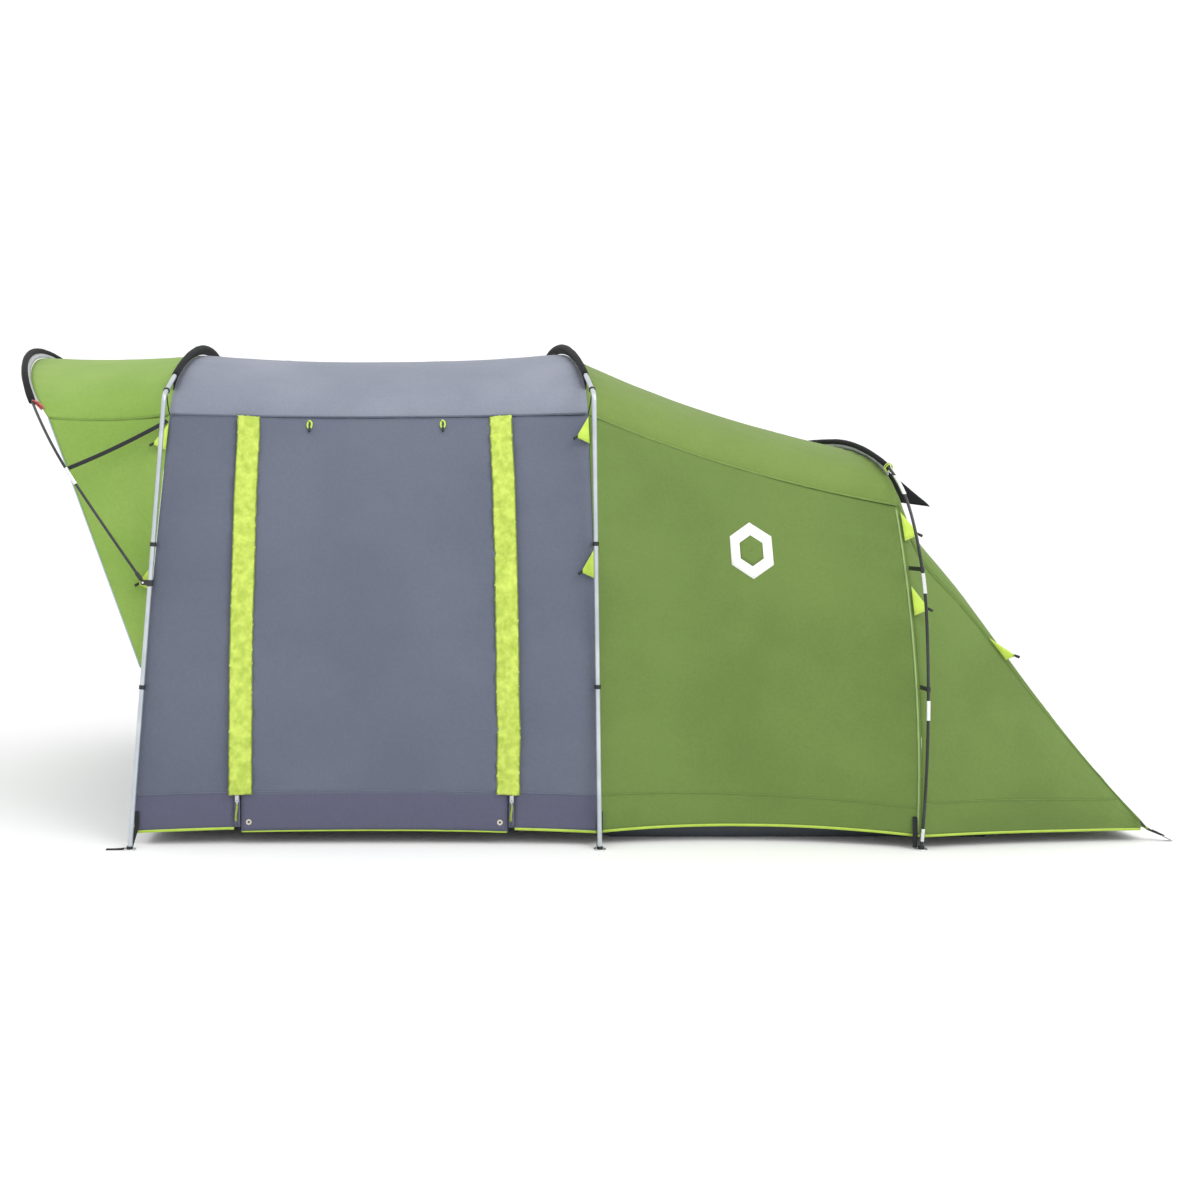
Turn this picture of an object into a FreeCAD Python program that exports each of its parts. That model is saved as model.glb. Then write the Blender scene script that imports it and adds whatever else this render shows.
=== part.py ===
"""A tunnel tent on three hoops with a porch canopy on a fourth, drawn as separate pieces.

Frame: +X runs from the porch to the tail, +Y from the near side to the far side, +Z up. The ground is
z = 0 and the origin is the middle of the tent's footprint. The front and middle hoops are steel legs with a
fibreglass crown, the rear hoop and the canopy bow are fibreglass. Lengths are millimetres, angles degrees.
"""
import FreeCAD, Part
import math
import os
import Sketcher
from FreeCAD import Placement, Rotation, Vector

SIZES = [
    # bays and tail, measured along the ground between hoop feet
    ("living_bay", 1809), ("bedroom_bay", 1237), ("tail_run", 945), ("tail_strap_run", 102),
    # front and middle hoops
    ("leg_half_width", 1300), ("elbow_half_width", 1175), ("elbow_height", 1767),
    ("sleeve_half_width", 985), ("sleeve_height", 1865), ("crown_rise", 239),
    ("front_lean", 3.53), ("rear_lean", 2.35), ("elbow_radius", 45),
    ("foot_rise", 4), ("leg_radius", 9.5), ("leg_bore", 7.8), ("crown_pole_radius", 7), ("pole_plug", 40),
    ("sleeve_radius", 14), ("sleeve_bore", 11.5), ("web_thickness", 1.4),
    ("web_gap", 4), ("web_stand", 0.5), ("collar_rise", 48), ("collar_gap", 0.3), ("elastic_stand", 18),
    # rear hoop, as tangent arcs from the crown down to the foot
    ("rear_crown_height", 1640), ("rear_crown_radius", 9000), ("rear_crown_turn", 3.76),
    ("rear_flank_radius", 1600), ("rear_flank_turn", 19.2), ("rear_shoulder_radius", 450),
    ("rear_shoulder_turn", 42), ("rear_leg_radius", 3200), ("rear_knee_radius", 900),
    ("rear_pole_radius", 5.5), ("ferrule_radius", 7.5), ("ferrule_length", 75),
    ("ferrule_fit", 0.6), ("rear_low_joint", 553), ("rear_high_joint", 1032), ("rear_top_joint", 1408),
    ("rear_sleeve_end", 1478), ("pole_lift", 2.5), ("plug_fit", 0.3),
    # canopy bow, drawn in its own plane from its pivots
    ("pivot_height", 1024), ("pivot_offset", 27), ("bow_lean", 33.7), ("bow_height", 1278),
    ("bow_crown_radius", 1680), ("bow_crown_turn", 30), ("bow_flank_radius", 930), ("bow_flank_turn", 32),
    ("bow_knee_radius", 500), ("bow_leg_radius", 3400), ("bow_pole_radius", 5.5),
    ("bow_sleeve_end", 847), ("bow_joint", 500),
    # fly sheet: its section at each hoop and how it draws in between them
    ("cloth", 3), ("seam_gap", 2), ("tail_gap", 5), ("ridge_gap", 4.5),
    ("hem_height", 48), ("hem_lift", 16), ("hem_waist", 20),
    ("wall_foot", 1245), ("seam_half", 1034), ("seam_height", 1700), ("roof_rise", 372),
    ("roof_power", 1.7), ("roof_root", 0.5), ("rear_roof_power", 2.8), ("rear_roof_root", 0.5),
    ("bow_roof_power", 1.7), ("bow_roof_root", 0.7),
    ("seam_waist", 145), ("wall_bow", 62), ("panel_bow", 112), ("roof_sag", 30),
    ("rear_wall_foot", 1300), ("rear_seam_half", 1226), ("rear_seam_height", 1323),
    ("rear_roof_rise", 290), ("rear_wall_bow", 78), ("bedroom_waist", 75), ("bedroom_sag", 30),
    ("tail_half", 1190), ("tail_hem", 50), ("tail_sag", 60), ("tail_dip", 70), ("tail_dip_at", 0.1),
    ("tail_tip", 0.03), ("tail_pinch", 0.25), ("panel_head", 0.998), ("wing_head", 0.996),
    ("bow_seam_half", 1095), ("bow_seam_height", 790), ("bow_roof_rise", 456), ("canopy_sag", 12),
    ("canopy_waist", 40), ("wing_foot", 690), ("wing_tip", 18), ("panel_inset", 16), ("panel_setback", 24),
    # side doors, zips and storm flaps
    ("door_front", 405), ("door_width", 1071), ("door_drop", 12), ("door_gap", 3), ("door_head", 10),
    ("zip_width", 24), ("zip_thickness", 2), ("slider_length", 26), ("slider_width", 14),
    ("slider_thickness", 5),
    ("slider_hole", 2), ("puller_length", 18), ("puller_width", 7), ("puller_thickness", 2.5),
    ("slider_gap", 2.5), ("slider_start", 128), ("flap_width", 94),
    ("flap_overhang", 34), ("flap_thickness", 2), ("flap_lift", 14), ("flap_foot", 145), ("flap_head", 12),
    ("eyelet_radius", 11), ("eyelet_bore", 5), ("eyelet_inset", 30), ("eyelet_thickness", 6),
    ("eyelet_stand", 1.5), ("eyelet_fit", 0.1), ("zip_foot", 0.004), ("flap_crest", 0.78),
    ("slider_eye", 6),
    ("puller_gap", 1), ("puller_lift", 1),
    # front wall and door
    ("front_door_half", 520), ("front_door_top", 1640), ("front_door_sill", 95),
    ("door_corner", 160),
    # straps, clips and feet
    ("plug_radius", 11.5), ("plug_height", 14), ("ring_radius", 21), ("ring_bar", 2.5),
    ("strap_width", 20), ("strap_thickness", 2), ("peg_loop_length", 68), ("clip_wall", 2.5),
    ("clip_height", 16), ("clip_fit", 1), ("clip_reach", 1.3), ("strap_stand", 10),
    ("strap_aside", 24), ("strap_root", 0.016), ("peg_gap", 4), ("tail_strap_inset", 14),
    ("clip_low", 612), ("clip_high", 1167), ("rear_clip_low", 625),
    ("rear_clip_high", 1076), ("collar_bar", 2.5), ("elastic_radius", 2), ("elastic_end_out", 6),
    ("elastic_end_up", 3), ("brace_width", 18),
    ("brace_height", 532), ("brace_gap", 2), ("brace_root", 0.985), ("brace_ahead", 6), ("brace_out", 8),
    ("buckle_length", 36), ("buckle_width", 28), ("buckle_thickness", 5),
    ("buckle_bar", 4), ("buckle_place", 0.45), ("buckle_lift", 0.3),
    # canopy bow's sockets and pivots
    ("socket_start", 15), ("socket_floor_gap", 2), ("socket_fit", 0.3), ("socket_length", 34),
    ("socket_radius", 8), ("socket_rise", 12), ("neck_width", 10), ("pivot_pin_radius", 4),
    ("pivot_clearance", 0.2), ("pivot_foot", 1), ("leg_clamp_fit", 0.1), ("eye_room", 3),
    ("eye_radius", 9), ("eye_width", 9), ("ear_thickness", 4), ("ear_gap", 1),
    ("ear_radius", 10), ("pivot_clamp_wall", 3), ("pivot_clamp_height", 24), ("pin_head", 3),
    # rear brow over the vent
    ("hood_half_width", 1100), ("hood_reach", 187), ("hood_drop", 148), ("hood_root_gap", 12),
    ("gusset_inset", 6), ("gusset_setback", 8), ("gusset_foot", 0.05),
    # guy points
    ("guy_front_high", 1665), ("guy_front_low", 1105), ("guy_mid_high", 1690), ("guy_mid_low", 1150),
    ("guy_rear_high", 1300), ("guy_rear_low", 1015), ("guy_tab_length", 112), ("guy_tab_reach", 52),
    ("guy_tab_stand", 10), ("guy_tip_out", 14), ("guy_tip_drop", 12), ("runner_length", 22),
    ("runner_radius", 5), ("runner_gap", 2),
    # floor and inner tent
    ("floor_thickness", 3), ("floor_half", 1120), ("floor_front_gap", 60), ("floor_tail", 350),
    ("tub_height", 110), ("inner_height", 1560), ("inner_top_half", 900), ("inner_door_half", 480),
    ("inner_door_top", 1350), ("inner_door_sill", 150),
    ("inner_foot_gap", 1), ("inner_side_gap", 10),
]

doc = FreeCAD.newDocument("TunnelTent")
sheet = doc.addObject("Spreadsheet::Sheet", "Sizes")
for row, (alias, value) in enumerate(SIZES, start=1):
    sheet.set(f"A{row}", alias)
    sheet.set(f"B{row}", str(value))
    sheet.setAlias(f"B{row}", alias)
doc.recompute()
made = []
THROUGH = 200.0  # long enough for any cutter to pass right through its piece


def size(alias):
    """A driving dimension, read back from the sheet."""
    return float(getattr(sheet, alias))


def cell(alias):
    """The expression that points at a driving dimension."""
    return f"Sizes.{alias}"


# ---------------------------------------------------------------- where things are
FRONT_LEAN = math.radians(size("front_lean"))
REAR_LEAN = math.radians(size("rear_lean"))
BOW_LEAN = math.radians(size("bow_lean"))
PIVOT_SHIFT = math.tan(FRONT_LEAN) * size("pivot_height") - size("pivot_offset")
REACH = math.sin(BOW_LEAN) * size("bow_height") + math.cos(BOW_LEAN) * size("sleeve_radius") - PIVOT_SHIFT
OVERALL = REACH + size("living_bay") + size("bedroom_bay") + size("tail_run") + size("tail_strap_run")
X_FRONT = REACH - OVERALL / 2
X_MID = X_FRONT + size("living_bay")
X_REAR = X_MID + size("bedroom_bay")
X_TAIL = X_REAR + size("tail_run")
SIDES = (("near", -1), ("far", 1))


def tilt(x_foot, lean):
    """The plane of a hoop: its own z runs up the hoop, leaning towards +X by an angle in radians."""
    return Placement(Vector(x_foot, 0, 0), Rotation(Vector(0, 1, 0), math.degrees(lean)))


FRONT_PLANE = tilt(X_FRONT, FRONT_LEAN)
MID_PLANE = tilt(X_MID, 0)
REAR_PLANE = tilt(X_REAR, -REAR_LEAN)
BOW_PLANE = Placement(Vector(X_FRONT + PIVOT_SHIFT, 0, size("pivot_height")),
                      Rotation(Vector(0, 1, 0), -size("bow_lean")))
TURN_ROUND = Placement(Vector(0, 0, 0), Rotation(Vector(0, 0, 1), 180))


# ---------------------------------------------------------------- making pieces
def keep(obj, label):
    """Registers a finished sub-part under the name of its file."""
    obj.Label = label
    made.append(obj)
    return obj


def feature(label, solids):
    """A sub-part whose shape is one solid or a group of separate ones."""
    solids = solids if isinstance(solids, list) else [solids]
    obj = doc.addObject("Part::Feature", label)
    obj.Shape = solids[0] if len(solids) == 1 else Part.makeCompound(solids)
    return keep(obj, label)


def new_body(label, place=None):
    body = doc.addObject("PartDesign::Body", label)
    if place is not None:
        body.Placement = place
    return keep(body, label)


def origin_plane(body, role):
    return next(f for f in body.Origin.OriginFeatures if f.Role == role)


def new_sketch(body, role, name, offset=None):
    sketch = body.newObject("Sketcher::SketchObject", name)
    sketch.AttachmentSupport = [(origin_plane(body, role), "")]
    sketch.MapMode = "FlatFace"
    if offset is not None:
        sketch.setExpression("AttachmentOffset.Base.z", offset)
    return sketch


def bind(sketch, constraint, expression):
    """Adds a dimension to a sketch and ties it to the sheet."""
    index = sketch.addConstraint(constraint)
    sketch.setExpression(f"Constraints[{index}]", expression)


def circle(sketch, radius, up="0", across="0"):
    """A circle whose radius and centre are expressions."""
    geo = sketch.addGeometry(Part.Circle(Vector(0, 0, 0), Vector(0, 0, 1), 5))
    bind(sketch, Sketcher.Constraint("Radius", geo, 5), radius)
    bind(sketch, Sketcher.Constraint("DistanceX", -1, 1, geo, 3, 0), across)
    bind(sketch, Sketcher.Constraint("DistanceY", -1, 1, geo, 3, 0), up)
    return geo


def outline(sketch, corners):
    """A closed outline of straight lines through corners that are pairs of expressions."""
    count = len(corners)
    guess = [Vector(100 * math.cos(2 * math.pi * k / count), 100 * math.sin(2 * math.pi * k / count), 0)
             for k in range(count)]
    for k in range(count):
        sketch.addGeometry(Part.LineSegment(guess[k], guess[(k + 1) % count]))
    for k in range(count):
        sketch.addConstraint(Sketcher.Constraint("Coincident", k, 2, (k + 1) % count, 1))
    for k, (across, up) in enumerate(corners):
        bind(sketch, Sketcher.Constraint("DistanceX", -1, 1, k, 1, guess[k].x), across)
        bind(sketch, Sketcher.Constraint("DistanceY", -1, 1, k, 1, guess[k].y), up)


def pad(body, sketch, length, middle=True):
    made_pad = body.newObject("PartDesign::Pad", body.Name + "_pad")
    made_pad.Profile = sketch
    made_pad.setExpression("Length", length)
    made_pad.Midplane = middle
    return made_pad


# ---------------------------------------------------------------- hoops of steel leg and fibreglass crown
CROWN_RADIUS = "((Sizes.sleeve_half_width ^ 2 + Sizes.crown_rise ^ 2) / (2 * Sizes.crown_rise))"
CROWN_R = (size("sleeve_half_width") ** 2 + size("crown_rise") ** 2) / (2 * size("crown_rise"))
CROWN_TOP = size("sleeve_height") + size("crown_rise")


def crown_bar(label, plane, radii, extra="0"):
    """A bar or tube bent round the crown: its section turned about the crown's centre."""
    centre = Placement(Vector(0, 0, CROWN_TOP - CROWN_R), Rotation())
    body = new_body(label, plane * centre)
    section = new_sketch(body, "XZ_Plane", label + "_section")
    for radius in radii:
        circle(section, cell(radius), up=CROWN_RADIUS)
    turn = body.newObject("PartDesign::Revolution", label + "_bend")
    turn.Profile = section
    turn.ReferenceAxis = (section, ["H_Axis"])
    turn.Midplane = True
    turn.setExpression("Angle", f"2 * asin((Sizes.sleeve_half_width + {extra}) / {CROWN_RADIUS})")
    return body


def steel_leg(label, plane, side):
    """A steel tube: straight from the foot to the elbow, bent there, and on to the crown pole's end."""
    inward = math.atan2(size("leg_half_width") - size("elbow_half_width"), size("elbow_height"))
    slant = Rotation(Vector(1, 0, 0), -math.degrees(inward))
    upright = Placement(Vector(0, -size("leg_half_width"), 0), slant)
    upright = upright * Placement(Vector(0, 0, size("foot_rise")), Rotation())
    place = plane * upright if side < 0 else plane * TURN_ROUND * upright
    body = new_body(label, place)
    inset = "(Sizes.leg_half_width - Sizes.elbow_half_width)"
    rise = "(Sizes.sleeve_height - Sizes.elbow_height)"
    run = "(Sizes.elbow_half_width - Sizes.sleeve_half_width)"
    length = f"sqrt({inset} ^ 2 + Sizes.elbow_height ^ 2)"
    bend = f"(90 deg - atan({rise} / {run}) - atan({inset} / Sizes.elbow_height))"
    setback = f"Sizes.elbow_radius * tan({bend} / 2)"
    path = new_sketch(body, "YZ_Plane", label + "_path")
    path.addGeometry(Part.LineSegment(Vector(0, 0, 0), Vector(0, 1700, 0)))
    path.addGeometry(Part.ArcOfCircle(Part.Circle(Vector(45, 1700, 0), Vector(0, 0, 1), 45),
                                      math.radians(120), math.radians(180)))
    path.addGeometry(Part.LineSegment(Vector(22, 1739, 0), Vector(200, 1840, 0)))
    path.addConstraint(Sketcher.Constraint("Coincident", 0, 1, -1, 1))
    path.addConstraint(Sketcher.Constraint("Vertical", 0))
    path.addConstraint(Sketcher.Constraint("Tangent", 0, 2, 1, 2))
    path.addConstraint(Sketcher.Constraint("Tangent", 1, 1, 2, 1))
    bind(path, Sketcher.Constraint("Distance", 0, 1700), f"{length} - {setback} - Sizes.foot_rise")
    bind(path, Sketcher.Constraint("Radius", 1, 45), cell("elbow_radius"))
    bind(path, Sketcher.Constraint("Distance", 2, 200), f"sqrt({rise} ^ 2 + {run} ^ 2) - {setback}")
    bind(path, Sketcher.Constraint("Angle", 2, math.radians(30)), f"90 deg - {bend}")
    section = new_sketch(body, "XY_Plane", label + "_section")
    circle(section, cell("leg_radius"))
    circle(section, cell("leg_bore"))
    pipe = body.newObject("PartDesign::AdditivePipe", label + "_tube")
    pipe.Profile = section
    pipe.Spine = (path, ["Edge1", "Edge2", "Edge3"])
    return body


for hoop, plane in (("front", FRONT_PLANE), ("mid", MID_PLANE)):
    for side_name, side in SIDES:
        steel_leg(f"{hoop}_leg_{side_name}", plane, side)
    crown_bar(f"{hoop}_crown_pole", plane, ["crown_pole_radius"], extra="Sizes.pole_plug")
    crown_bar(f"{hoop}_sleeve", plane, ["sleeve_radius", "sleeve_bore"])


# ---------------------------------------------------------------- hoops of tangent arcs
def arc_chain(start, arcs, flip=1):
    """Tangent arcs in a hoop's plane, from the crown's top outwards, as edges and their end points."""
    edges = []
    ends = [start]
    y, z = start
    angle = 0.0
    for radius, turn in arcs:
        centre = (y - radius * math.sin(angle), z - radius * math.cos(angle))
        points = []
        for part in (0.0, 0.5, 1.0):
            a = angle + turn * part
            across = centre[0] + radius * math.sin(a)
            points.append(Vector(0, flip * across, centre[1] + radius * math.cos(a)))
        edges.append(Part.Arc(*points).toShape())
        angle += turn
        y, z = centre[0] + radius * math.sin(angle), centre[1] + radius * math.cos(angle)
        ends.append((y, z))
    return edges, ends


def tube_along(edges, radius, bore=0.0):
    """A round bar, or a tube where a bore is given, along tangent edges."""
    path = Part.Wire(edges)
    start = edges[0].valueAt(edges[0].FirstParameter)
    heading = edges[0].tangentAt(edges[0].FirstParameter)
    rings = [Part.Wire([Part.makeCircle(r, start, heading)]) for r in (radius, bore) if r > 0]
    solids = [path.makePipeShell([ring], True, False) for ring in rings]
    return solids[0] if len(solids) == 1 else solids[0].cut(solids[1])


def in_plane(plane, shape):
    """Stands a shape drawn in a hoop's own plane where the hoop is."""
    moved = shape.copy()
    moved.Placement = plane.multiply(moved.Placement)
    return moved


def slab(low, high):
    """A wide slice of a hoop's plane between two heights, to cut a hoop into its sections."""
    return Part.makeBox(400, 4000, high - low, Vector(-200, -2000, low))


def rear_arcs():
    parts = ("crown", "flank", "shoulder")
    knee = math.pi / 2 - math.radians(sum(size(f"rear_{part}_turn") for part in parts))
    arcs = [(size(f"rear_{part}_radius"), math.radians(size(f"rear_{part}_turn"))) for part in parts]
    arcs.append((size("rear_knee_radius"), knee))
    top = arc_chain((0, size("rear_crown_height")), arcs)[1][-1][1]
    return arcs + [(size("rear_leg_radius"), math.asin(top / size("rear_leg_radius")))]


def bow_arcs():
    knee = math.pi / 2 - math.radians(size("bow_crown_turn") + size("bow_flank_turn"))
    parts = ("crown", "flank")
    arcs = [(size(f"bow_{part}_radius"), math.radians(size(f"bow_{part}_turn"))) for part in parts]
    arcs.append((size("bow_knee_radius"), knee))
    top = arc_chain((0, size("bow_height")), arcs)[1][-1][1]
    return arcs + [(size("bow_leg_radius"), math.asin(top / size("bow_leg_radius")))]


def whole_hoop(top, arcs):
    near = arc_chain((0, top), arcs, -1)[0]
    far = arc_chain((0, top), arcs, 1)[0]
    return Part.__sortEdges__(near + far)


REAR_HOOP = (size("rear_crown_height"), rear_arcs())
BOW_HOOP = (size("bow_height"), bow_arcs())
REAR_LINE = whole_hoop(*REAR_HOOP)
BOW_LINE = whole_hoop(*BOW_HOOP)


def line_at(top, arcs, height, side):
    """The point and upward heading of a hoop's centre line at a height, on one side."""
    y, z, angle = 0.0, top, 0.0
    for radius, turn in arcs:
        centre = z - radius * math.cos(angle)
        next_z = centre + radius * math.cos(angle + turn)
        if height >= next_z:
            angle_here = math.acos((height - centre) / radius)
            out = y + radius * (math.sin(angle_here) - math.sin(angle))
            heading = Vector(0, -side * math.cos(angle_here), math.sin(angle_here))
            return Vector(0, side * out, height), heading
        y += radius * (math.sin(angle + turn) - math.sin(angle))
        z, angle = next_z, angle + turn
    return Vector(0, side * y, z), Vector(0, 0, 1)


def sections(edges, radius, cuts, top):
    """A fibreglass hoop cut into its sections at the given heights, from the foot up."""
    bar = tube_along(edges, radius)
    levels = [size("foot_rise") + size("pole_lift")] + cuts + [top + 100]
    return [bar.common(slab(levels[k], levels[k + 1])).Solids for k in range(len(levels) - 1)]


def ferrules(edges, heights, radius, bore, length):
    """Steel collars over the joints of a hoop, on both sides of it."""
    collar = tube_along(edges, radius, bore)
    return [solid for height in heights
            for solid in collar.common(slab(height - length / 2, height + length / 2)).Solids]


REAR_JOINTS = [size(f"rear_{part}_joint") for part in ("low", "high", "top")]
rear_bars = sections(REAR_LINE, size("rear_pole_radius"), REAR_JOINTS, size("rear_crown_height"))
feature("rear_pole_sections", [in_plane(REAR_PLANE, bar) for level in rear_bars for bar in level])
rear_collars = ferrules(REAR_LINE, REAR_JOINTS, size("ferrule_radius"),
                        size("rear_pole_radius") + size("ferrule_fit"), size("ferrule_length"))
feature("rear_ferrules", [in_plane(REAR_PLANE, collar) for collar in rear_collars])
rear_sleeve = tube_along(REAR_LINE, size("sleeve_radius"), size("sleeve_bore")).common(
    slab(size("rear_sleeve_end"), size("rear_crown_height") + 100))
feature("rear_sleeve", in_plane(REAR_PLANE, rear_sleeve))

bow_bars = sections(BOW_LINE, size("bow_pole_radius"), [size("bow_joint")], size("bow_height"))
below_socket = slab(-60.0, size("socket_start") + size("socket_floor_gap"))
feature("bow_pole_sections",
        [in_plane(BOW_PLANE, bar.cut(below_socket)) for level in bow_bars for bar in level])
bow_collars = ferrules(BOW_LINE, [size("bow_joint")], size("ferrule_radius"),
                       size("bow_pole_radius") + size("ferrule_fit"), size("ferrule_length"))
feature("bow_ferrules", [in_plane(BOW_PLANE, collar) for collar in bow_collars])
bow_sleeve = tube_along(BOW_LINE, size("sleeve_radius"), size("sleeve_bore")).common(
    slab(size("bow_sleeve_end"), size("bow_height") + 100))
feature("bow_sleeve", in_plane(BOW_PLANE, bow_sleeve))


# ---------------------------------------------------------------- the fly's sections and the cloth between
class Section:
    """The fly's outline at one hoop, drawn in the hoop's plane and read out in the tent's frame."""

    def __init__(self, plane, prefix):
        self.plane = plane
        self.foot = size(prefix + "wall_foot") if prefix != "bow_" else 0.0
        self.bow = size(prefix + "wall_bow") if prefix != "bow_" else 0.0
        self.half = size(prefix + "seam_half")
        self.seam = size(prefix + "seam_height")
        self.rise = size(prefix + "roof_rise")
        self.power = size(prefix + "roof_power")
        self.root = size(prefix + "roof_root")

    def wall(self, f, side):
        """A point of the wall: f is 0 at the hem and 1 at the roof seam."""
        hem = size("hem_height")
        out = self.foot + (self.half - self.foot) * f + 4 * self.bow * f * (1 - f)
        return self.plane.multVec(Vector(0, side * out, hem + (self.seam - hem) * f))

    def roof(self, turn):
        """A point of the roof: turn runs from -90 at the near seam to 90 at the far one."""
        across = math.sin(math.radians(turn))
        up = max(0.0, 1 - abs(across) ** self.power) ** self.root
        return self.plane.multVec(Vector(0, self.half * across, self.seam + self.rise * up))


FRONT = Section(FRONT_PLANE, "")
MID = Section(MID_PLANE, "")
REAR = Section(REAR_PLANE, "rear_")
BOW = Section(BOW_PLANE, "bow_")


def between(start, end, a, draw, drop):
    """Cloth stretched between two hoops: drawn in towards the middle line and let down in mid-bay."""
    mid = 4 * a * (1 - a)
    point = start + (end - start) * a
    inward = -draw * mid if point.y > 0 else draw * mid
    return Vector(point.x, point.y + inward, point.z - drop * mid)


def living_wall(x, f, side):
    """The living bay's wall at a station along the tent."""
    start, end = FRONT.wall(f, side), MID.wall(f, side)
    a = (x - start.x) / (end.x - start.x)
    draw = size("seam_waist") * f + size("hem_waist") * (1 - f)
    draw -= 4 * (size("panel_bow") - size("wall_bow")) * f * (1 - f)
    return between(start, end, a, draw, -size("hem_lift") * (1 - f))


def bedroom_wall(a, f, side):
    return between(MID.wall(f, side), REAR.wall(f, side), a, size("bedroom_waist"),
                   size("bedroom_sag") * f - size("hem_lift") * (1 - f))


def roof_between(start, end, a, turn, draw, drop):
    across = abs(math.sin(math.radians(turn)))
    return between(start.roof(turn), end.roof(turn), a, draw * across, drop)


def steps(count, low=0.0, high=1.0):
    return [low + (high - low) * k / (count - 1) for k in range(count)]


def cloth_solid(rows, inward, thickness=None):
    """A curved sheet through a grid of points, thickened towards a point on its inner side."""
    thickness = size("cloth") if thickness is None else thickness
    depth = []
    for i, row in enumerate(rows):
        line = []
        for j, point in enumerate(row):
            along = rows[min(i + 1, len(rows) - 1)][j] - rows[max(i - 1, 0)][j]
            across = row[min(j + 1, len(row) - 1)] - row[max(j - 1, 0)]
            normal = along.cross(across).normalize()
            line.append(point + normal * (thickness if normal.dot(inward - point) > 0 else -thickness))
        depth.append(line)
    faces = []
    for grid in (rows, depth):
        surface = Part.BSplineSurface()
        surface.interpolate(grid)
        faces.append(surface.toShape())
    faces += [Part.makeRuledSurface(a, b) for a, b in zip(faces[0].Edges, faces[1].Edges)]
    shell = Part.makeShell(faces)
    shell.sewShape()
    solid = Part.makeSolid(Part.Shell(shell.Faces) if shell.ShapeType != "Shell" else shell)
    if solid.Volume < 0:
        solid.reverse()
    return solid


EDGE = size("seam_gap") / 2
SEAM_TURN = 89.6
TURNS = steps(15, -SEAM_TURN, SEAM_TURN)
HEIGHTS = steps(7, 0.0, size("panel_head"))


def shift_in(a, span):
    """Leaves half a seam's gap at each end of a bay."""
    return EDGE / span + a * (1 - 2 * EDGE / span)


LIVING_STATIONS = [shift_in(a, size("living_bay")) for a in steps(7)]
BEDROOM_STATIONS = [shift_in(a, size("bedroom_bay")) for a in steps(6)]
CANOPY_STATIONS = [shift_in(a, size("living_bay") / 2) for a in steps(5)]

feature("living_roof", cloth_solid(
    [[roof_between(FRONT, MID, a, turn, size("seam_waist"), size("roof_sag") * math.cos(math.radians(turn)))
      for turn in TURNS] for a in LIVING_STATIONS], Vector(X_FRONT / 2, 0, 700)))
feature("bedroom_roof", cloth_solid(
    [[roof_between(MID, REAR, a, turn, size("bedroom_waist"), size("bedroom_sag")) for turn in TURNS]
     for a in BEDROOM_STATIONS], Vector(X_MID + size("bedroom_bay") / 2, 0, 500)))
feature("canopy_roof", cloth_solid(
    [[roof_between(BOW, FRONT, a, turn, size("canopy_waist"), size("canopy_sag")) for turn in TURNS]
     for a in CANOPY_STATIONS], Vector(X_FRONT, 0, 700)))

DOOR_START = X_FRONT + size("door_front")
DOOR_END = DOOR_START + size("door_width")
HALF_ZIP = size("zip_width") / 2


def wall_panel(front, back, side, foot=0.0, head=HEIGHTS[-1]):
    """A stretch of the living wall between two stations given at each height by functions."""
    rows = []
    for a in steps(5):
        rows.append([living_wall(front(f) + (back(f) - front(f)) * a, f, side) for f in steps(7, foot, head)])
    return rows


def at_station(x):
    return lambda f: x


def hoop_edge(section, side, shift):
    return lambda f: section.wall(f, side).x + shift


CORE_LIVING = Vector(X_FRONT + size("living_bay") / 2, 0, 700)
CORE_REAR = Vector(X_REAR - 300, 0, 500)
DOOR_TOP = 1 - size("door_head") / size("seam_height")


TAIL_STEPS = [0.0, 0.05, 0.1, 0.16, 0.25, 0.4, 0.55, 0.7, 0.85, 1 - size("tail_tip")]


def tail_corner(side):
    return Vector(X_TAIL, side * size("tail_half"), size("tail_hem"))


def rear_drop(t):
    """How far the rear wall hangs below a straight line: its sag, and the dip under the vent."""
    share = t / size("tail_dip_at")
    return 4 * t * (1 - t) * size("tail_sag"), size("tail_dip") * share * share * math.exp(2 * (1 - share))


def tail_side(side):
    rows = []
    for t in TAIL_STEPS:
        sag, dip = rear_drop(t)
        row = []
        for f in HEIGHTS:
            start = REAR.wall(f, side) + Vector(EDGE, 0, 0)
            point = start + (tail_corner(side) - start) * t
            out = size("ridge_gap") - sag * size("tail_pinch") * (1 - f)
            row.append(point + Vector(0, side * out, -(sag + dip) * f))
        rows.append(row)
    return rows


for side_name, side in SIDES:
    feature(f"wall_front_{side_name}", cloth_solid(
        wall_panel(hoop_edge(FRONT, side, EDGE), at_station(DOOR_START - HALF_ZIP), side), CORE_LIVING))
    feature(f"wall_mid_{side_name}", cloth_solid(
        wall_panel(at_station(DOOR_END + HALF_ZIP), hoop_edge(MID, side, -EDGE), side), CORE_LIVING))
    feature(f"wall_bedroom_{side_name}", cloth_solid(
        [[bedroom_wall(a, f, side) for f in HEIGHTS] for a in BEDROOM_STATIONS], CORE_REAR))
    feature(f"tail_side_{side_name}", cloth_solid(tail_side(side), CORE_REAR))


def rear_wall_point(t, turn):
    """The sloping rear wall, from the rear hoop's roof line down to the tail's hem."""
    start = REAR.roof(turn) + Vector(size("tail_gap"), 0, 0)
    across = math.sin(math.radians(turn))
    end = Vector(X_TAIL, size("tail_half") * across, size("tail_hem"))
    return start + (end - start) * t - Vector(0, 0, sum(rear_drop(t)))


feature("rear_wall", cloth_solid(
    [[rear_wall_point(t, turn) for turn in TURNS] for t in TAIL_STEPS[:-1] + [1.0]], Vector(X_REAR, 0, 100)))


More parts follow.
